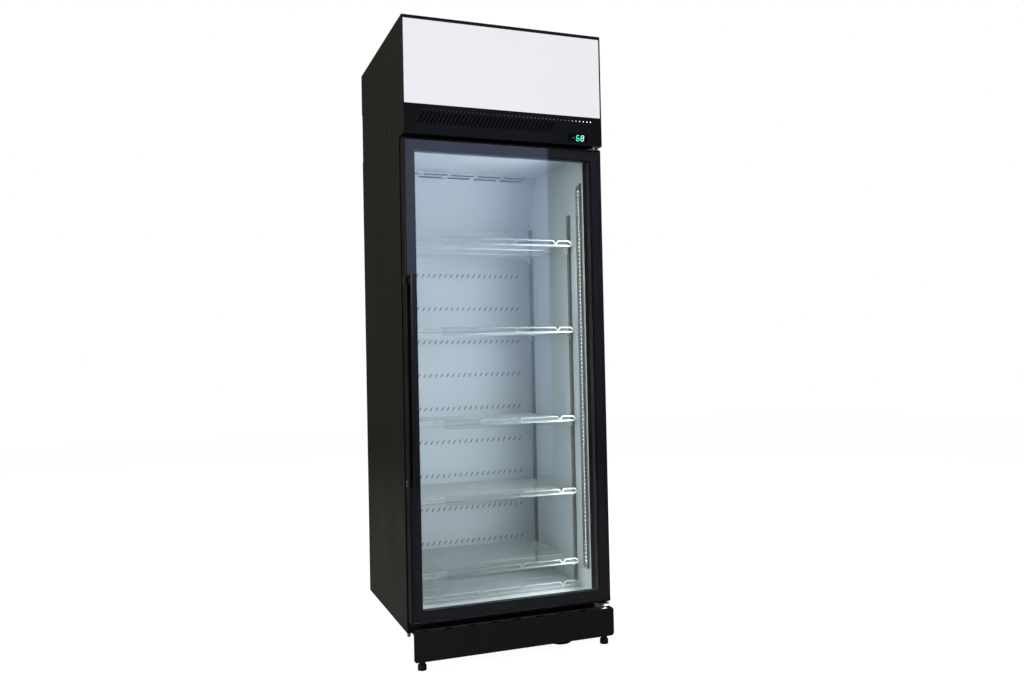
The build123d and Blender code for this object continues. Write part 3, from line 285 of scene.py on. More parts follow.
settled_dust, gin, gout = effect(
    "settled_dust",
    [("Colour", "Color", (0.0, 0.0, 0.0, 1.0)), ("Dust", "Color", (0.3, 0.29, 0.27, 1.0)),
     ("Amount", "Float", 0.2), ("Spread", "Float", 9.0)],
    [("Colour", "Color"), ("Mask", "Float")])
where = node(settled_dust, "TexCoord")
clouds = node(settled_dust, "TexNoise", Detail=6.0, Roughness=0.65)
flat = node(settled_dust, "NewGeometry")
facing = node(settled_dust, "SeparateXYZ")
upward = node(settled_dust, "MapRange", From_Min=-0.2, From_Max=1.0, To_Min=0.12, To_Max=1.0)
thick = node(settled_dust, "MapRange", From_Min=0.35, From_Max=0.75)
both = node(settled_dust, "Math", {"operation": "MULTIPLY"})
share = node(settled_dust, "Math", {"operation": "MULTIPLY", "use_clamp": True})
blend = node(settled_dust, "Mix", {"data_type": "RGBA"})
wire(settled_dust, where.outputs["Object"], clouds.inputs["Vector"])
wire(settled_dust, gin.outputs["Spread"], clouds.inputs["Scale"])
wire(settled_dust, flat.outputs["Normal"], facing.inputs[0])
wire(settled_dust, facing.outputs["Z"], upward.inputs["Value"])
wire(settled_dust, clouds.outputs["Fac"], thick.inputs["Value"])
wire(settled_dust, upward.outputs[0], both.inputs[0])
wire(settled_dust, thick.outputs[0], both.inputs[1])
wire(settled_dust, both.outputs[0], share.inputs[0])
wire(settled_dust, gin.outputs["Amount"], share.inputs[1])
wire(settled_dust, share.outputs[0], blend.inputs["Factor"])
wire(settled_dust, gin.outputs["Colour"], blend.inputs[6])
wire(settled_dust, gin.outputs["Dust"], blend.inputs[7])
wire(settled_dust, blend.outputs[2], gout.inputs["Colour"])
wire(settled_dust, share.outputs[0], gout.inputs["Mask"])


def painted(name, colour, worn, scale, bump, low, high, rub, dust, **values):
    """Sprayed paint over sheet: orange peel, rubbed edges and a film of dust."""
    made, tree, shader = finish(name, **values)
    skin = place(tree, sprayed_skin, Scale=scale, Bump=bump, Low=low, High=high)
    rubbed = place(tree, rubbed_edge, Colour=colour, Worn=worn, Width=0.0015, Amount=rub)
    dusty = place(tree, settled_dust, Amount=dust)
    wire(tree, rubbed.outputs["Colour"], dusty.inputs["Colour"])
    wire(tree, dusty.outputs["Colour"], shader.inputs["Base Color"])
    wire(tree, skin.outputs["Roughness"], shader.inputs["Roughness"])
    wire(tree, skin.outputs["Normal"], shader.inputs["Normal"])
    return made


black_coat = painted("black_coat", (0.0125, 0.0115, 0.0085, 1.0), (0.05, 0.048, 0.044, 1.0),
                     850.0, 0.12, 0.3, 0.42, 0.5, 0.05, Specular_IOR_Level=0.42)
dress(black_coat, "outer_cabinet", "rear_panel")
soften(0.0012, "outer_cabinet")

# ---- Foam and lining --------------------------------------------------------------------
# Rigid foam fills the walls between the outer sheet and the lining. The lining is sheet
# steel in white enamel, folded and sealed at its corners, with a lip round the mouth.

foam_fill, tree, shader = finish("foam_fill", Roughness=0.9)
where = node(tree, "TexCoord")
cells = node(tree, "TexVoronoi", Scale=420.0)
shade = node(tree, "ValToRGB")
shade.color_ramp.elements[0].color = (0.62, 0.5, 0.27, 1.0)
shade.color_ramp.elements[1].color = (0.8, 0.69, 0.42, 1.0)
raised = node(tree, "Bump", Strength=0.5, Distance=0.0006)
wire(tree, where.outputs["Object"], cells.inputs["Vector"])
wire(tree, cells.outputs["Distance"], shade.inputs[0])
wire(tree, shade.outputs[0], shader.inputs["Base Color"])
wire(tree, cells.outputs["Distance"], raised.inputs["Height"])
wire(tree, raised.outputs[0], shader.inputs["Normal"])
dress(foam_fill, "foam_insulation")

white_enamel = painted("white_enamel", (0.66, 0.72, 0.75, 1.0), (0.5, 0.52, 0.53, 1.0),
                       500.0, 0.05, 0.28, 0.4, 0.3, 0.03)
dress(white_enamel, "inner_liner")
soften(0.003, "inner_liner")

# ---- Base frame, feet and rollers -------------------------------------------------------
# Zinc-plated beams under the cabinet carry two screw feet at the front and two rubber
# rollers at the back, and a plastic cup that catches the condensate.

drawn_grain, gin, gout = effect(
    "drawn_grain",
    [("Light", "Color", (0.6, 0.6, 0.6, 1.0)), ("Dark", "Color", (0.4, 0.4, 0.4, 1.0)),
     ("Stretch", "Vector", (40.0, 40.0, 40.0)), ("Bump", "Float", 0.1),
     ("Low", "Float", 0.25), ("High", "Float", 0.5)],
    [("Colour", "Color"), ("Roughness", "Float"), ("Normal", "Vector")])
where = node(drawn_grain, "TexCoord")
pulled = node(drawn_grain, "VectorMath", {"operation": "MULTIPLY"})
streaks = node(drawn_grain, "TexNoise", Scale=1.0, Detail=6.0, Roughness=0.7)
spangle = node(drawn_grain, "TexVoronoi", Scale=70.0)
mixed = node(drawn_grain, "Mix", {"data_type": "FLOAT"}, Factor=0.35)
blend = node(drawn_grain, "Mix", {"data_type": "RGBA"})
sheen = node(drawn_grain, "MapRange", From_Min=0.3, From_Max=0.7)
raised = node(drawn_grain, "Bump", Distance=0.0002)
wire(drawn_grain, where.outputs["Object"], pulled.inputs[0])
wire(drawn_grain, gin.outputs["Stretch"], pulled.inputs[1])
wire(drawn_grain, pulled.outputs[0], streaks.inputs["Vector"])
wire(drawn_grain, where.outputs["Object"], spangle.inputs["Vector"])
wire(drawn_grain, streaks.outputs["Fac"], mixed.inputs[2])
wire(drawn_grain, spangle.outputs["Distance"], mixed.inputs[3])
wire(drawn_grain, mixed.outputs[0], blend.inputs["Factor"])
wire(drawn_grain, gin.outputs["Dark"], blend.inputs[6])
wire(drawn_grain, gin.outputs["Light"], blend.inputs[7])
wire(drawn_grain, streaks.outputs["Fac"], sheen.inputs["Value"])
wire(drawn_grain, gin.outputs["Low"], sheen.inputs["To Min"])
wire(drawn_grain, gin.outputs["High"], sheen.inputs["To Max"])
wire(drawn_grain, streaks.outputs["Fac"], raised.inputs["Height"])
wire(drawn_grain, gin.outputs["Bump"], raised.inputs["Strength"])
wire(drawn_grain, blend.outputs[2], gout.inputs["Colour"])
wire(drawn_grain, sheen.outputs[0], gout.inputs["Roughness"])
wire(drawn_grain, raised.outputs[0], gout.inputs["Normal"])


def metal(name, light, dark, stretch, bump, low, high):
    """Bare or plated metal with its drawing or rolling marks."""
    made, tree, shader = finish(name, Metallic=1.0)
    grain = place(tree, drawn_grain, Light=light, Dark=dark, Stretch=stretch, Bump=bump, Low=low,
                  High=high)
    dusty = place(tree, settled_dust, Amount=0.15)
    wire(tree, grain.outputs["Colour"], dusty.inputs["Colour"])
    wire(tree, dusty.outputs["Colour"], shader.inputs["Base Color"])
    wire(tree, grain.outputs["Roughness"], shader.inputs["Roughness"])
    wire(tree, grain.outputs["Normal"], shader.inputs["Normal"])
    return made


zinc_sheet = metal("zinc_sheet", (0.62, 0.63, 0.64, 1.0), (0.42, 0.43, 0.45, 1.0),
                   (30.0, 30.0, 30.0), 0.1, 0.3, 0.5)
dress(zinc_sheet, "base_frame", "roller_brackets", "roller_axles")
soften(0.0006, "base_frame", "roller_brackets")

moulded_texture, gin, gout = effect(
    "moulded_texture",
    [("Colour", "Color", (0.02, 0.02, 0.02, 1.0)), ("Faded", "Color", (0.04, 0.04, 0.04, 1.0)),
     ("Scale", "Float", 900.0), ("Bump", "Float", 0.2), ("Low", "Float", 0.4),
     ("High", "Float", 0.55)],
    [("Colour", "Color"), ("Roughness", "Float"), ("Normal", "Vector")])
where = node(moulded_texture, "TexCoord")
pebbles = node(moulded_texture, "TexVoronoi", {"feature": "SMOOTH_F1"})
mottle = node(moulded_texture, "TexNoise", Scale=12.0, Detail=5.0, Roughness=0.6)
worn = node(moulded_texture, "MapRange", From_Min=0.45, From_Max=0.8)
blend = node(moulded_texture, "Mix", {"data_type": "RGBA"})
sheen = node(moulded_texture, "MapRange", From_Min=0.3, From_Max=0.7)
raised = node(moulded_texture, "Bump", Distance=0.0003)
wire(moulded_texture, where.outputs["Object"], pebbles.inputs["Vector"])
wire(moulded_texture, gin.outputs["Scale"], pebbles.inputs["Scale"])
wire(moulded_texture, where.outputs["Object"], mottle.inputs["Vector"])
wire(moulded_texture, mottle.outputs["Fac"], worn.inputs["Value"])
wire(moulded_texture, worn.outputs[0], blend.inputs["Factor"])
wire(moulded_texture, gin.outputs["Colour"], blend.inputs[6])
wire(moulded_texture, gin.outputs["Faded"], blend.inputs[7])
wire(moulded_texture, mottle.outputs["Fac"], sheen.inputs["Value"])
wire(moulded_texture, gin.outputs["Low"], sheen.inputs["To Min"])
wire(moulded_texture, gin.outputs["High"], sheen.inputs["To Max"])
wire(moulded_texture, pebbles.outputs["Distance"], raised.inputs["Height"])
wire(moulded_texture, gin.outputs["Bump"], raised.inputs["Strength"])
wire(moulded_texture, blend.outputs[2], gout.inputs["Colour"])
wire(moulded_texture, sheen.outputs[0], gout.inputs["Roughness"])
wire(moulded_texture, raised.outputs[0], gout.inputs["Normal"])


def moulded(name, colour, faded, scale, bump, low, high, dust=0.1, **values):
    """Moulded plastic or rubber: a pebbled tool surface, faded in patches."""
    made, tree, shader = finish(name, **values)
    grain = place(tree, moulded_texture, Colour=colour, Faded=faded, Scale=scale, Bump=bump,
                  Low=low, High=high)
    dusty = place(tree, settled_dust, Amount=dust)
    wire(tree, grain.outputs["Colour"], dusty.inputs["Colour"])
    wire(tree, dusty.outputs["Colour"], shader.inputs["Base Color"])
    wire(tree, grain.outputs["Roughness"], shader.inputs["Roughness"])
    wire(tree, grain.outputs["Normal"], shader.inputs["Normal"])
    return made


black_moulding = moulded("black_moulding", (0.009, 0.009, 0.01, 1.0), (0.014, 0.014, 0.015, 1.0),
                         900.0, 0.25, 0.32, 0.5)
roller_tread = moulded("roller_tread", (0.02, 0.02, 0.02, 1.0), (0.05, 0.048, 0.045, 1.0),
                       500.0, 0.5, 0.6, 0.85, dust=0.3)
dress(black_moulding, "condensate_cup")
dress(roller_tread, "rear_roller_left", "rear_roller_right")
soften(0.0015, "condensate_cup")


def piece(name, mesh, body, slot, *materials, smooth=True):
    """Puts a finished mesh on a body, with its materials."""
    obj = link(bpy.data.objects.new(name, mesh))
    for material in materials:
        mesh.materials.append(material)
    if smooth:
        mesh.shade_smooth()
        mesh.set_sharp_from_angle(angle=math.radians(35.0))
    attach(obj, body)
    return obj


def lathe(name, profile, middle, steps=48):
    """A turned shape: (radius, height) points spun round an upright line."""
    mesh = bpy.data.meshes.new(name)
    points, faces = [], []
    for radius, height in profile:
        for i in range(steps):
            turn = 2 * math.pi * i / steps
            points.append((middle[0] + radius * math.cos(turn), middle[1] + radius * math.sin(turn),
                           middle[2] + height))
    rows = len(profile)
    for row in range(rows - 1):
        for i in range(steps):
            j = (i + 1) % steps
            here, above = row * steps, (row + 1) * steps
            faces.append((here + i, here + j, above + j, above + i))
    faces.append(tuple(reversed(range(steps))))
    faces.append(tuple(range((rows - 1) * steps, rows * steps)))
    mesh.from_pydata(points, [], faces)
    return mesh


def screw_foot(node_name, body, piece_name):
    """A levelling foot: a pad with rounded edges, a lock nut and a threaded stem."""
    low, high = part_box(node_name)
    middle = ((low.x + high.x) / 2, (low.y + high.y) / 2, 0.0)
    pad = (high.x - low.x) / 2
    top = high.z
    stem, thread, pad_top, nut_top = 0.0052, 0.0059, 0.0168, 0.028
    nut, thread_pitch = 0.0105, 0.0015
    profile = [(pad - 0.002, 0.0), (pad - 0.0005, 0.0006), (pad, 0.002), (pad, pad_top - 0.002),
               (pad - 0.0006, pad_top - 0.0006), (pad - 0.002, pad_top), (nut - 0.0003, pad_top),
               (nut, pad_top + 0.001), (nut, nut_top - 0.001), (nut - 0.001, nut_top),
               (stem, nut_top)]
    height = nut_top
    while height < top - 0.003:
        profile += [(stem, height + 0.0003), (thread, height + 0.0008), (stem, height + 0.0014)]
        height += thread_pitch
    profile += [(stem, top - 0.001), (stem - 0.001, top)]
    mesh = lathe(piece_name, profile, middle)
    made = piece(piece_name, mesh, body, "black_plastic", black_moulding)
    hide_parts(node_name)


screw_foot("front_foot_left", "left_foot", "screw_foot_left")
screw_foot("front_foot_right", "right_foot", "screw_foot_right")

# ---- Kick plate -------------------------------------------------------------------------
# A folded strip of steel that hides the base, in a flat charcoal coat, with clipped
# corners and shallow notches along its top edge.

charcoal_coat = painted("charcoal_coat", (0.021, 0.021, 0.02, 1.0), (0.04, 0.04, 0.04, 1.0),
                        700.0, 0.2, 0.55, 0.7, 0.5, 0.05, Specular_IOR_Level=0.3)
dress(charcoal_coat, "kick_plate")
soften(0.0005, "kick_plate")

# ---- Machine compartment ----------------------------------------------------------------
# Sheet sides stand on the insulated box under a hood that slants up to the back. Inside
# are a hermetic compressor, a finned condenser with its fan, and copper pipes.

dress(black_coat, "compartment_sides", "hood", "rear_grille")
soften(0.0008, "hood")
dress(black_moulding, "power_inlet", "condenser_fan")
soften(0.001, "power_inlet")
fin_metal = metal("fin_metal", (0.78, 0.79, 0.8, 1.0), (0.55, 0.56, 0.58, 1.0),
                  (900.0, 40.0, 12.0), 0.3, 0.25, 0.45)
copper_tube = metal("copper_tube", (0.85, 0.45, 0.28, 1.0), (0.5, 0.24, 0.14, 1.0),
                    (60.0, 60.0, 60.0), 0.1, 0.2, 0.45)
can_enamel = painted("can_enamel", (0.008, 0.008, 0.008, 1.0), (0.1, 0.09, 0.08, 1.0),
                     300.0, 0.1, 0.2, 0.3, 0.4, 0.3)
dress(fin_metal, "condenser_coil", "evaporator_coil")
dress(copper_tube, "refrigerant_pipes")
dress(can_enamel, "compressor")
dress(zinc_sheet, "fan_motors")

# ---- Sign box ---------------------------------------------------------------------------
# A steel box across the top holds an opal sheet lit from behind by two rows of diodes.
# Only a thin black rim shows round the sheet.

dress(black_coat, "canopy_housing")
soften(0.0008, "canopy_housing")
opal_sheet, tree, shader = finish("opal_sheet", Roughness=0.25, Emission_Strength=0.88)
where = node(tree, "TexCoord")
spots = node(tree, "TexNoise", Scale=5.0, Detail=1.0)
tint = node(tree, "ValToRGB")
tint.color_ramp.elements[0].color = (0.905, 0.885, 0.94, 1.0)
tint.color_ramp.elements[1].color = (0.93, 0.905, 0.955, 1.0)
wire(tree, where.outputs["Object"], spots.inputs["Vector"])
wire(tree, spots.outputs["Fac"], tint.inputs[0])
wire(tree, tint.outputs[0], shader.inputs["Emission Color"])
milky = place(tree, moulded_texture, Colour=(0.1, 0.1, 0.1, 1.0), Faded=(0.12, 0.12, 0.12, 1.0),
              Scale=700.0, Bump=0.03, Low=0.2, High=0.3)
wire(tree, milky.outputs["Colour"], shader.inputs["Base Color"])
wire(tree, milky.outputs["Roughness"], shader.inputs["Roughness"])
wire(tree, milky.outputs["Normal"], shader.inputs["Normal"])
dress(opal_sheet, "sign_panel")

# ---- Vent panel and controller ----------------------------------------------------------
# The strip under the sign has slanted slots with a near-black pad behind them: painted shade
# for the dark compartment. A row of small holes lies over a strip that glows brighter towards
# the right end: painted light. The thermostat has digits under a smoked window, two buttons.

panel_coat = painted("panel_coat", (0.0045, 0.0045, 0.0045, 1.0), (0.03, 0.03, 0.03, 1.0),
                     850.0, 0.06, 0.34, 0.44, 0.3, 0.03, Specular_IOR_Level=0.35)
dress(panel_coat, "vent_panel")
soften(0.0002, "vent_panel")
panel_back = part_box("vent_panel")[1].y


def wavy_pad(name, low, high, ripple, count, body, slot, material):
    """A soft flat pad with a rippled front, like foam cut with a hot wire."""
    mesh = bpy.data.meshes.new(name)
    shape = bmesh.new()
    fronts, backs = [], []
    for i in range(count + 1):
        x = low[0] + (high[0] - low[0]) * i / count
        y = low[1] + ripple * (0.5 - 0.5 * math.cos(math.pi * i))
        fronts.append([shape.verts.new((x, y, z)) for z in (low[2], high[2])])
        backs.append([shape.verts.new((x, high[1], z)) for z in (low[2], high[2])])
    for i in range(count):
        a, b, c, d = fronts[i], fronts[i + 1], backs[i], backs[i + 1]
        shape.faces.new((a[0], b[0], b[1], a[1]))
        shape.faces.new((c[0], c[1], d[1], d[0]))
        shape.faces.new((a[1], b[1], d[1], c[1]))
        shape.faces.new((a[0], c[0], d[0], b[0]))
    shape.faces.new((fronts[0][0], fronts[0][1], backs[0][1], backs[0][0]))
    shape.faces.new((fronts[-1][0], backs[-1][0], backs[-1][1], fronts[-1][1]))
    bmesh.ops.recalc_face_normals(shape, faces=shape.faces)
    shape.to_mesh(mesh)
    shape.free()
    return piece(name, mesh, body, slot, material)


# A near-black pad just behind the vent slots: painted shade for the dark machine compartment behind
# them.
shade_pad_black = moulded("shade_pad_black", (0.004, 0.004, 0.004, 1.0), (0.008, 0.008, 0.008, 1.0),
                      1200.0, 0.8, 0.8, 0.95, dust=0.02)
shade_pad_gap, shade_pad_depth = 0.0012, 0.005
shade_pad_y = panel_back + shade_pad_gap
wavy_pad("painted_shade_pad", (-0.3, shade_pad_y, 1.7035), (0.176, shade_pad_y + shade_pad_depth, 1.7515),
         0.0012, 120, "cabinet", "black_plastic", shade_pad_black)
dress(black_moulding, "controller_housing", "button_set", "button_light")
smoked, tree, shader = finish("smoked_window", Transmission_Weight=1.0, IOR=1.45)
skin = place(tree, sprayed_skin, Scale=400.0, Bump=0.01, Low=0.03, High=0.08)
tint = node(tree, "ValToRGB")
tint.color_ramp.elements[0].color = (0.3, 0.31, 0.33, 1.0)
tint.color_ramp.elements[1].color = (0.36, 0.37, 0.4, 1.0)
wire(tree, skin.outputs["Patches"], tint.inputs[0])
wire(tree, tint.outputs[0], shader.inputs["Base Color"])
wire(tree, skin.outputs["Roughness"], shader.inputs["Roughness"])
dress(smoked, "display_lens")
lens_low, lens_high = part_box("display_lens")
lens_middle = (lens_low + lens_high) / 2
digit_y = lens_high.y + 0.0003

segment_places = {"a": (0, 1, "h"), "b": (1, 0.5, "v"), "c": (1, -0.5, "v"), "d": (0, -1, "h"),
                  "e": (-1, -0.5, "v"), "f": (-1, 0.5, "v"), "g": (0, 0, "h")}
glyphs = {"-": "g", "8": "abcdefg", "6": "acdefg"}


def lit_digit(name, glyph, x, half_width, half_height, bar, material):
    """The lit bars of one seven-segment digit, leaning a little to the right."""
    mesh = bpy.data.meshes.new(name)
    shape = bmesh.new()
    for segment in glyphs[glyph]:
        sx, sz, way = segment_places[segment]
        cx, cz = sx * half_width, sz * half_height
        reach = half_width - bar * 0.35 if way == "h" else half_height / 2 - bar * 0.35
        outline = [(-reach, 0), (-reach + bar / 2, bar / 2), (reach - bar / 2, bar / 2), (reach, 0),
                   (reach - bar / 2, -bar / 2), (-reach + bar / 2, -bar / 2)]
        corners = []
        for u, v in outline:
            px, pz = (cx + u, cz + v) if way == "h" else (cx + v, cz + u)
            corners.append(shape.verts.new((x + px + pz * 0.12, digit_y, lens_middle.z + pz)))
        face = shape.faces.new(corners)
        if face.normal.y > 0:
            face.normal_flip()
        grown = bmesh.ops.extrude_face_region(shape, geom=[face])
        for vert in [v for v in grown["geom"] if isinstance(v, bmesh.types.BMVert)]:
            vert.co.y += 0.0003
    bmesh.ops.recalc_face_normals(shape, faces=shape.faces)
    shape.to_mesh(mesh)
    shape.free()
    return piece(name, mesh, "cabinet", "light_board", material, smooth=False)


def lit(name, colour, strength):
    """A lit plastic or phosphor face, a little uneven."""
    made, tree, shader = finish(name, Emission_Strength=strength, Roughness=0.4)
    where = node(tree, "TexCoord")
    uneven = node(tree, "TexNoise", Scale=300.0)
    tint = node(tree, "ValToRGB")
    tint.color_ramp.elements[0].color = tuple(0.85 * c for c in colour) + (1.0,)
    tint.color_ramp.elements[1].color = tuple(colour) + (1.0,)
    wire(tree, where.outputs["Object"], uneven.inputs["Vector"])
    wire(tree, uneven.outputs["Fac"], tint.inputs[0])
    wire(tree, tint.outputs[0], shader.inputs["Emission Color"])
    wire(tree, tint.outputs[0], shader.inputs["Base Color"])
    return made


green_glow = lit("green_glow", (0.05, 0.95, 0.5), 7.0)
cyan_glow = lit("cyan_glow", (0.55, 0.95, 0.95), 6.0)
faint_glow = lit("faint_glow", (0.2, 0.4, 0.37), 1.8)
# The strip behind the row of small holes glows, dark at the left and bright at the right end: painted
# light seen through the holes.
painted_leak_light, tree, shader = finish("painted_leak_light", Roughness=0.4, Base_Color=(0.6, 0.6, 0.6, 1.0))
where = node(tree, "TexCoord")
along = node(tree, "SeparateXYZ")
nearer = node(tree, "MapRange", From_Min=-0.05, From_Max=0.315, To_Min=0.0, To_Max=1.0)
stronger = node(tree, "ValToRGB")
stronger.color_ramp.elements[0].color = (0.006, 0.006, 0.006, 1.0)
stronger.color_ramp.elements[1].color = (1.0, 1.0, 1.0, 1.0)
stronger.color_ramp.elements.new(0.75).color = (0.06, 0.06, 0.065, 1.0)
shader.inputs["Emission Strength"].default_value = 3.0
wire(tree, where.outputs["Object"], along.inputs[0])
wire(tree, along.outputs["X"], nearer.inputs["Value"])
wire(tree, nearer.outputs[0], stronger.inputs[0])
wire(tree, stronger.outputs[0], shader.inputs["Emission Color"])
strip_y = panel_back + 0.0008
wavy_pad("painted_leak_strip", (-0.281, strip_y, 1.7528), (0.319, strip_y + 0.0014, 1.7572),
         0.0003, 90, "cabinet", "clear_plastic", painted_leak_light)
digit_pitch = 0.0165
digit_half, digit_rise, digit_bar = 0.0048, 0.009, 0.0019
lit_digit("digit_sign", "-", lens_middle.x - digit_pitch, digit_half, digit_rise, 0.0024, faint_glow)
lit_digit("digit_tens", "6", lens_middle.x, digit_half, digit_rise, digit_bar, green_glow)
lit_digit("digit_units", "8", lens_middle.x + digit_pitch, digit_half, digit_rise, digit_bar,
          cyan_glow)

# ---- Light boards and cabinet lamp ------------------------------------------------------
# White circuit boards with a row of diodes: two behind the sign, and one that runs up the
# right side of the mouth in an aluminium channel under a clear plastic cover.

board_white = moulded("board_white", (0.4, 0.42, 0.44, 1.0), (0.33, 0.35, 0.37, 1.0),
                      400.0, 0.05, 0.35, 0.5)
diode_glow = lit("diode_glow", (0.93, 0.9, 1.0), 12.0)
board_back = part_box("led_boards")[1].y
lamp_low, lamp_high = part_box("lamp_housing")
sign_low, sign_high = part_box("sign_panel")
diode_size, diode_rise, board_sheet = 0.0034, 0.0012, 0.0016
body_share, lens_share = 0.75, 0.74


def diode_row(name, start, step, count, out_axis, board):
    """One circuit board with its diodes: a ceramic body and a domed bright lens each."""
    mesh = bpy.data.meshes.new(name)
    shape = bmesh.new()
    low, high = board
    made = bmesh.ops.create_cube(shape, size=1.0)
    for vert in made["verts"]:
        vert.co = Vector([(low[i] + high[i]) / 2 + vert.co[i] * (high[i] - low[i])
                          for i in range(3)])
    bmesh.ops.bevel(shape, geom=list(shape.edges), offset=0.0003, segments=1, affect="EDGES")
    for i in range(count):
        middle = start + step * i
        for size, lift, tag in ((diode_size, diode_rise * body_share, 0),
                                (diode_size * lens_share, diode_rise, 1)):
            block = bmesh.ops.create_cube(shape, size=1.0)
            for vert in block["verts"]:
                local = vert.co.copy()
                taper = 0.8 if vert.co[out_axis] < 0 else 1.0
                for axis in range(3):
                    if axis == out_axis:
                        vert.co[axis] = middle[axis] - lift * (0.5 - local[axis])
                    else:
                        vert.co[axis] = middle[axis] + local[axis] * size * taper
            for face in {f for v in block["verts"] for f in v.link_faces}:
                face.material_index = tag
    shape.to_mesh(mesh)
    shape.free()
    return mesh




def islands(name):
    """The middle and size of each loose solid in a CAD node."""
    shape = bmesh.new()
    shape.from_mesh(nodes[name].data)
    bmesh.ops.remove_doubles(shape, verts=shape.verts, dist=0.00001)
    left, found = set(shape.verts), []
    while left:
        stack = [left.pop()]
        group = list(stack)
        while stack:
            for side in stack.pop().link_edges:
                for vert in side.verts:
                    if vert in left:
                        left.remove(vert)
                        stack.append(vert)
                        group.append(vert)
        low = Vector([min(v.co[i] for v in group) for i in range(3)])
        high = Vector([max(v.co[i] for v in group) for i in range(3)])
        found.append((low, high))
    shape.free()
    return sorted(found, key=lambda pair: tuple(pair[0]))


diode_pitch = 0.0139
board_places = islands("led_boards")
lamp_board_low, lamp_board_high = max(board_places, key=lambda pair: pair[1].z - pair[0].z)
lamp_board_face = lamp_board_high.x - board_sheet
lamp_shift = Vector((0.0, 0.0145, 0.0))          # clear of the channel's front lip
lamp_board_low, lamp_board_high = lamp_board_low + lamp_shift, lamp_board_high + lamp_shift
lamp_count = int((lamp_high.z - lamp_low.z - 0.03) / diode_pitch)
lamp_first = (lamp_low.z + lamp_high.z) / 2 - (lamp_count - 1) / 2 * diode_pitch
lamp_mesh = diode_row(
    "lamp_diodes", Vector((lamp_board_face, lamp_board_low.y + 0.004, lamp_first)),
    Vector((0.0, 0.0, diode_pitch)), lamp_count, 0,
    ((lamp_board_face, lamp_board_low.y, lamp_board_low.z),
     (lamp_board_high.x, lamp_board_high.y, lamp_board_high.z)))
lamp_diodes = piece("lamp_diodes", lamp_mesh, "cabinet", "light_board", board_white, diode_glow,
                    smooth=False)
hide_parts("led_boards")
sign_pitch = 0.033
sign_half = sign_high.x - 0.002 - 0.03
sign_count = int(2 * sign_half / sign_pitch)
sign_glow = lit("sign_glow", (0.93, 0.9, 1.0), 3.0)
for number, share_up in enumerate((0.3, 0.7), start=1):
    row_z = sign_low.z + (sign_high.z - 0.002 - sign_low.z) * share_up
    row_y = board_back - board_sheet
    row_mesh = diode_row(
        f"sign_diodes_{number}", Vector((-(sign_count - 1) / 2 * sign_pitch, row_y, row_z)),
        Vector((sign_pitch, 0.0, 0.0)), sign_count, 1,
        ((-sign_half, row_y, row_z - 0.006), (sign_half, board_back, row_z + 0.006)))
    piece(f"sign_diodes_{number}", row_mesh, "cabinet", "light_board", board_white, sign_glow,
          smooth=False)

channel_metal = metal("channel_metal", (0.85, 0.86, 0.87, 1.0), (0.7, 0.71, 0.73, 1.0),
                      (300.0, 300.0, 4.0), 0.1, 0.25, 0.4)
dress(channel_metal, "lamp_housing")


def clear(name, colour, low, high, ior, ripple=0.004):
    """Clear glass or plastic that lets the lamps' light through."""
    made, tree, shader = finish(name, Transmission_Weight=1.0, IOR=ior)
    skin = place(tree, sprayed_skin, Scale=60.0, Bump=ripple, Low=low, High=high)
    tint = node(tree, "ValToRGB")
    tint.color_ramp.elements[0].color = tuple(0.97 * c for c in colour) + (1.0,)
    tint.color_ramp.elements[1].color = tuple(colour) + (1.0,)
    wire(tree, skin.outputs["Patches"], tint.inputs[0])
    wire(tree, tint.outputs[0], shader.inputs["Base Color"])
    wire(tree, skin.outputs["Roughness"], shader.inputs["Roughness"])
    wire(tree, skin.outputs["Normal"], shader.inputs["Normal"])
    open_way = node(tree, "BsdfTransparent")
    path = node(tree, "LightPath")
    either = node(tree, "MixShader")
    wire(tree, tint.outputs[0], open_way.inputs["Color"])
    wire(tree, path.outputs["Is Shadow Ray"], either.inputs[0])
    wire(tree, shader.outputs[0], either.inputs[1])
    wire(tree, open_way.outputs[0], either.inputs[2])
    wire(tree, either.outputs[0], tree.nodes["Material Output"].inputs["Surface"])
    return made


clear_cover = clear("clear_cover", (0.97, 0.98, 0.98), -0.02, 0.02, 1.45, 0.0)
dress(clear_cover, "lamp_cover")
lamp_middle_z = (lamp_low.z + lamp_high.z) / 2
lamp_light = soft_lamp("cabinet_lamp", (lamp_low.x - 0.003, lamp_board_low.y, lamp_middle_z),
                       (-0.3, lamp_board_low.y + 0.1, lamp_middle_z), 0.03, lamp_high.z - lamp_low.z,
                       5.6, (0.93, 0.96, 1.0))
lamp_light.data.spread = math.radians(150.0)
lamp_light.visible_glossy = False
lamp_light.visible_camera = False
lamp_light.visible_transmission = False

# ---- Evaporator and air duct ------------------------------------------------------------
# A white enamelled panel slopes forward at the top to cover the cooling coil and its fan,
# and runs down the back as a duct, with rows of small slanted slots over dim blue-grey strips:
# painted shade for the dark duct behind the slots.

dress(white_enamel, "duct_panel")
# Dim blue-grey strips just behind the duct slots: painted shade for the dark duct behind them.
duct_painted_shade = moulded("duct_painted_shade", (0.09, 0.1, 0.115, 1.0), (0.12, 0.13, 0.145, 1.0),
                    1100.0, 0.6, 0.75, 0.95, dust=0.05)
first_row, row_pitch, row_half, row_rise = 0.264, 0.1275, 0.262, 0.011
shade_strip_front, shade_strip_back = 0.2756, 0.2768
for row in range(9):
    row_z = first_row + row * row_pitch
    wavy_pad(f"duct_painted_shade_{row + 1}", (-row_half, shade_strip_front, row_z - row_rise),
             (row_half, shade_strip_back, row_z + row_rise),
             0.0004, 60, "cabinet", "foam", duct_painted_shade)
white_moulding = moulded("white_moulding", (0.82, 0.83, 0.82, 1.0), (0.75, 0.76, 0.74, 1.0),
                         700.0, 0.1, 0.35, 0.5)
dress(white_moulding, "drain_line")
dress(black_moulding, "evaporator_fan")

# ---- Shelf standards, clips and shelves -------------------------------------------------
# Slotted steel strips on the side walls carry white clips. On them lie shelves of welded
# wire dipped in white plastic, each with a raised guard rail and a clear price strip.

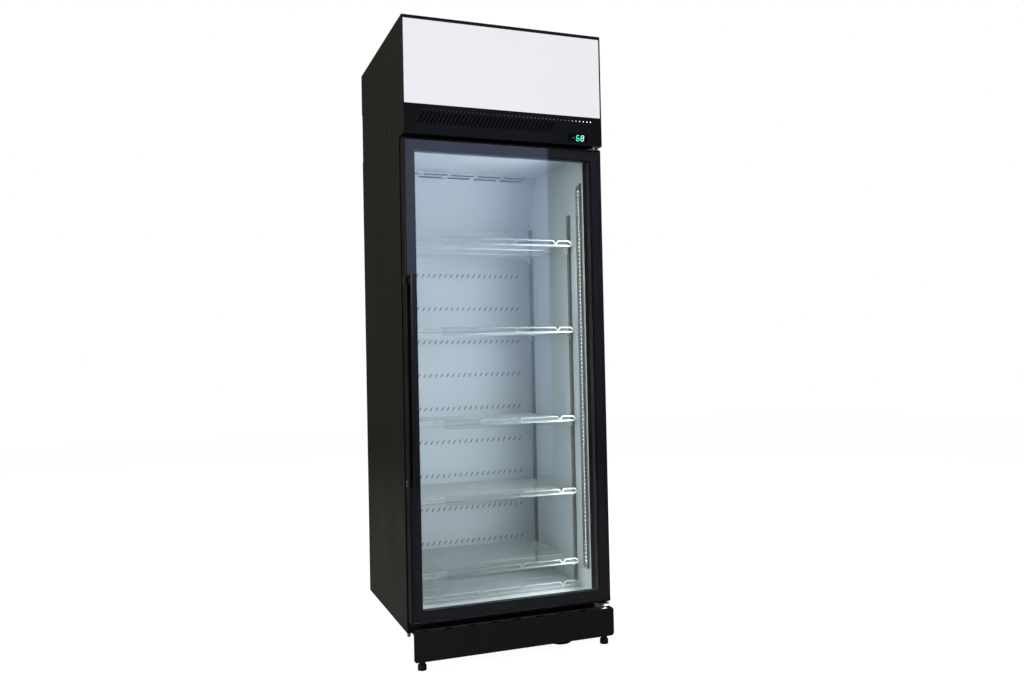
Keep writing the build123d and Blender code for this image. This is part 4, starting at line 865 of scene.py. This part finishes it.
standard_coat = painted("standard_coat", (0.2, 0.2, 0.19, 1.0), (0.3, 0.3, 0.3, 1.0),
                        300.0, 0.1, 0.3, 0.45, 0.5, 0.05)
dress(standard_coat, "shelf_standards")
dress(white_moulding, "shelf_clips")
wire_coat = painted("wire_coat", (0.72, 0.77, 0.75, 1.0), (0.6, 0.6, 0.58, 1.0),
                    400.0, 0.1, 0.18, 0.3, 0.2, 0.04, Coat_Weight=0.3)
dress(wire_coat, *[f"shelf_{i}" for i in range(1, 7)])
clear_strip = clear("clear_strip", (0.93, 0.96, 0.95), 0.05, 0.15, 1.4)
dress(clear_strip, *[f"price_strip_{i}" for i in range(1, 6)])

# ---- Door -------------------------------------------------------------------------------
# A black plastic frame holds two sheets of glass with a sealed air gap between them. The
# front sheet has a black border printed on its inner face, which hides frame and spacer.

door_profile = moulded("door_profile", (0.008, 0.008, 0.009, 1.0), (0.012, 0.012, 0.013, 1.0),
                       600.0, 0.12, 0.4, 0.55, Specular_IOR_Level=0.25)
dress(door_profile, "door_frame")
soften(0.0008, "door_frame")
front_pane = clear("front_pane", (0.975, 0.99, 0.985), -0.03, 0.015, 1.5, 0.0)
rear_pane = clear("rear_pane", (0.97, 0.985, 0.99), -0.03, 0.015, 1.5, 0.0)
dress(front_pane, "door_front_glass")
dress(rear_pane, "door_rear_glass")
dress(channel_metal, "glass_spacer")
glass_low, glass_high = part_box("door_front_glass")
door_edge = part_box("door_frame")[1].x


def frame_sweep(name, profile, half, low, high, radius, steps=5):
    """A profile of (inset, y) points carried round a rectangle with rounded corners."""
    mesh = bpy.data.meshes.new(name)
    points, faces = [], []
    count = 4 * (steps + 1)
    for inset, y in profile:
        bend = max(radius - inset, 0.0004)
        for corner, (sx, sz) in enumerate(((1, 1), (-1, 1), (-1, -1), (1, -1))):
            cx = sx * (half - inset - bend)
            cz = (high if sz > 0 else low) - sz * (inset + bend)
            for i in range(steps + 1):
                turn = math.radians(90.0 * corner + 90.0 * i / steps)
                points.append((cx + bend * math.cos(turn), y, cz + bend * math.sin(turn)))
    rows = len(profile)
    for row in range(rows):
        below = (row + 1) % rows
        for i in range(count):
            j = (i + 1) % count
            faces.append((row * count + i, row * count + j, below * count + j, below * count + i))
    mesh.from_pydata(points, [], faces)
    shape = bmesh.new()
    shape.from_mesh(mesh)
    bmesh.ops.recalc_face_normals(shape, faces=shape.faces)
    shape.to_mesh(mesh)
    shape.free()
    return mesh


printed_black, tree, shader = finish("printed_black", Coat_Weight=0.2)
print_tone = place(tree, moulded_texture, Colour=(0.007, 0.009, 0.017, 1.0),
                   Faded=(0.009, 0.011, 0.019, 1.0), Scale=1500.0, Bump=0.0, Low=0.3, High=0.4)
wire(tree, print_tone.outputs["Colour"], shader.inputs["Base Color"])
wire(tree, print_tone.outputs["Roughness"], shader.inputs["Roughness"])
wire(tree, print_tone.outputs["Normal"], shader.inputs["Normal"])
print_back = glass_high.y - 0.00005
print_front = print_back - 0.00012
border = 0.036 - (door_edge - glass_high.x)
edge_in = 0.0006
print_mesh = frame_sweep(
    "printed_border",
    [(edge_in, print_front), (border, print_front), (border, print_back), (edge_in, print_back)],
    glass_high.x, glass_low.z, glass_high.z, 0.004)
piece("printed_border", print_mesh, "door", "door_profile", printed_black, smooth=False)

gasket_rubber = moulded("gasket_rubber", (0.015, 0.015, 0.017, 1.0), (0.03, 0.03, 0.033, 1.0),
                        600.0, 0.2, 0.45, 0.65)
seal_low, seal_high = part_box("door_gasket")
seal_front, seal_back, seal_width = seal_low.y, seal_high.y, 0.014
seal_profile = [
    (0.0, seal_front), (0.0, seal_front + 0.002), (0.0016, seal_front + 0.0032),
    (0.0034, seal_front + 0.0042), (0.0022, seal_front + 0.0056), (0.0012, seal_front + 0.0072),
    (0.0018, seal_front + 0.0088), (0.0028, seal_back - 0.0014), (0.0042, seal_back - 0.0002),
    (0.007, seal_back), (0.0098, seal_back - 0.0002), (0.0112, seal_back - 0.0014),
    (0.0122, seal_front + 0.0088), (0.0128, seal_front + 0.0072), (0.0118, seal_front + 0.0056),
    (0.0106, seal_front + 0.0042), (0.0124, seal_front + 0.0032),
    (seal_width, seal_front + 0.002), (seal_width, seal_front)]
seal_mesh = frame_sweep("magnet_seal", seal_profile, seal_high.x, seal_low.z, seal_high.z, 0.016)
magnet_seal = piece("magnet_seal", seal_mesh, "door", "gasket_rubber", gasket_rubber)
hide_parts("door_gasket")

# ---- Handle -----------------------------------------------------------------------------
# A square aluminium bar in black anodising stands off the door's free edge on two folded
# brackets, each held by two screws in the edge of the frame.

handle_coat = painted("handle_coat", (0.008, 0.008, 0.009, 1.0), (0.16, 0.16, 0.17, 1.0),
                      900.0, 0.06, 0.16, 0.26, 0.5, 0.04, Specular_IOR_Level=0.6)
dress(handle_coat, "handle_bar", "handle_brackets")
soften(0.0004, "handle_brackets")

bright_screw = metal("bright_screw", (0.75, 0.75, 0.76, 1.0), (0.5, 0.5, 0.52, 1.0),
                     (200.0, 200.0, 200.0), 0.1, 0.15, 0.3)


def pan_head(shape, middle, way, radius, rise):
    """A domed screw head with a cross recess, standing on middle and looking along way."""
    steps, rings = 24, 7
    out = Vector(way)
    side = out.orthogonal().normalized()
    other = out.cross(side)
    rows = []
    for ring in range(rings + 1):
        share = ring / rings
        row = []
        for i in range(steps):
            turn = 2 * math.pi * i / steps
            u, v = radius * share * math.cos(turn), radius * share * math.sin(turn)
            lift = rise * math.sqrt(max(0.0, 1.0 - (share * 0.93) ** 2))
            cross = min(abs(u), abs(v)) < 0.16 * radius and share < 0.62
            if cross:
                lift -= rise * 0.55
            row.append(shape.verts.new(middle + side * u + other * v + out * lift))
            if ring == 0:
                break
        rows.append(row)
    for ring in range(rings):
        for i in range(steps):
            j = (i + 1) % steps
            if ring == 0:
                shape.faces.new((rows[0][0], rows[1][i], rows[1][j]))
            else:
                inner, outer = rows[ring], rows[ring + 1]
                shape.faces.new((inner[i], outer[i], outer[j], inner[j]))
    foot = [shape.verts.new(v.co - out * (v.co - middle).dot(out)) for v in rows[-1]]
    for i in range(steps):
        j = (i + 1) % steps
        shape.faces.new((rows[-1][i], foot[i], foot[j], rows[-1][j]))
    shape.faces.new(list(reversed(foot)))


def hex_head(shape, middle, way, radius, rise):
    """A hexagon head with a chamfered crown."""
    out = Vector(way)
    side = out.orthogonal().normalized()
    other = out.cross(side)
    rows = []
    for share, lift in ((1.0, 0.0), (1.0, 0.78), (0.86, 1.0)):
        corners = []
        for i in range(6):
            turn = math.radians(60 * i)
            spoke = side * math.cos(turn) + other * math.sin(turn)
            corners.append(shape.verts.new(middle + spoke * radius * share + out * rise * lift))
        rows.append(corners)
    for low_row, high_row in zip(rows, rows[1:]):
        for i in range(6):
            j = (i + 1) % 6
            shape.faces.new((low_row[i], low_row[j], high_row[j], high_row[i]))
    shape.faces.new(rows[-1])
    shape.faces.new(list(reversed(rows[0])))


def fastener_set(name, cad_name, body, outward):
    """Shaped heads in the places of the plain ones."""
    mesh = bpy.data.meshes.new(name)
    shape = bmesh.new()
    for low, high in islands(cad_name):
        size = high - low
        thin = min(range(3), key=lambda i: size[i]) if min(size) < 0.005 else 2
        middle = (low + high) / 2
        way = outward(middle, thin)
        foot = middle.copy()
        foot[thin] = low[thin] if way[thin] > 0 else high[thin]
        across_head = max(size[i] for i in range(3) if i != thin) / 2
        head = pan_head if size[thin] < 0.0025 else hex_head
        head(shape, foot, way, across_head * 0.98, size[thin])
    bmesh.ops.recalc_face_normals(shape, faces=shape.faces)
    shape.to_mesh(mesh)
    shape.free()
    made = piece(name, mesh, body, "steel_fastener", bright_screw)
    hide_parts(cad_name)
    return made


fastener_set("handle_screws", "door_screws", "door", lambda middle, thin: Vector((-1.0, 0.0, 0.0)))

# ---- Hinges and cabinet fasteners -------------------------------------------------------
# Plated brackets bolted to the cabinet's front hold the door between two pins, in plastic
# bushes. Small bright screws join the hood, and hexagon bolts hold the base at its corners.

dress(zinc_sheet, "hinge_brackets")
soften(0.0006, "hinge_brackets")
dress(black_moulding, "hinge_bushes")


def cabinet_way(middle, thin):
    if thin == 0:
        return Vector((math.copysign(1.0, middle.x), 0.0, 0.0))
    return Vector((0.0, -1.0, 0.0)) if thin == 1 else Vector((0.0, 0.0, -1.0))


fastener_set("cabinet_fasteners", "cabinet_screws", "cabinet", cabinet_way)
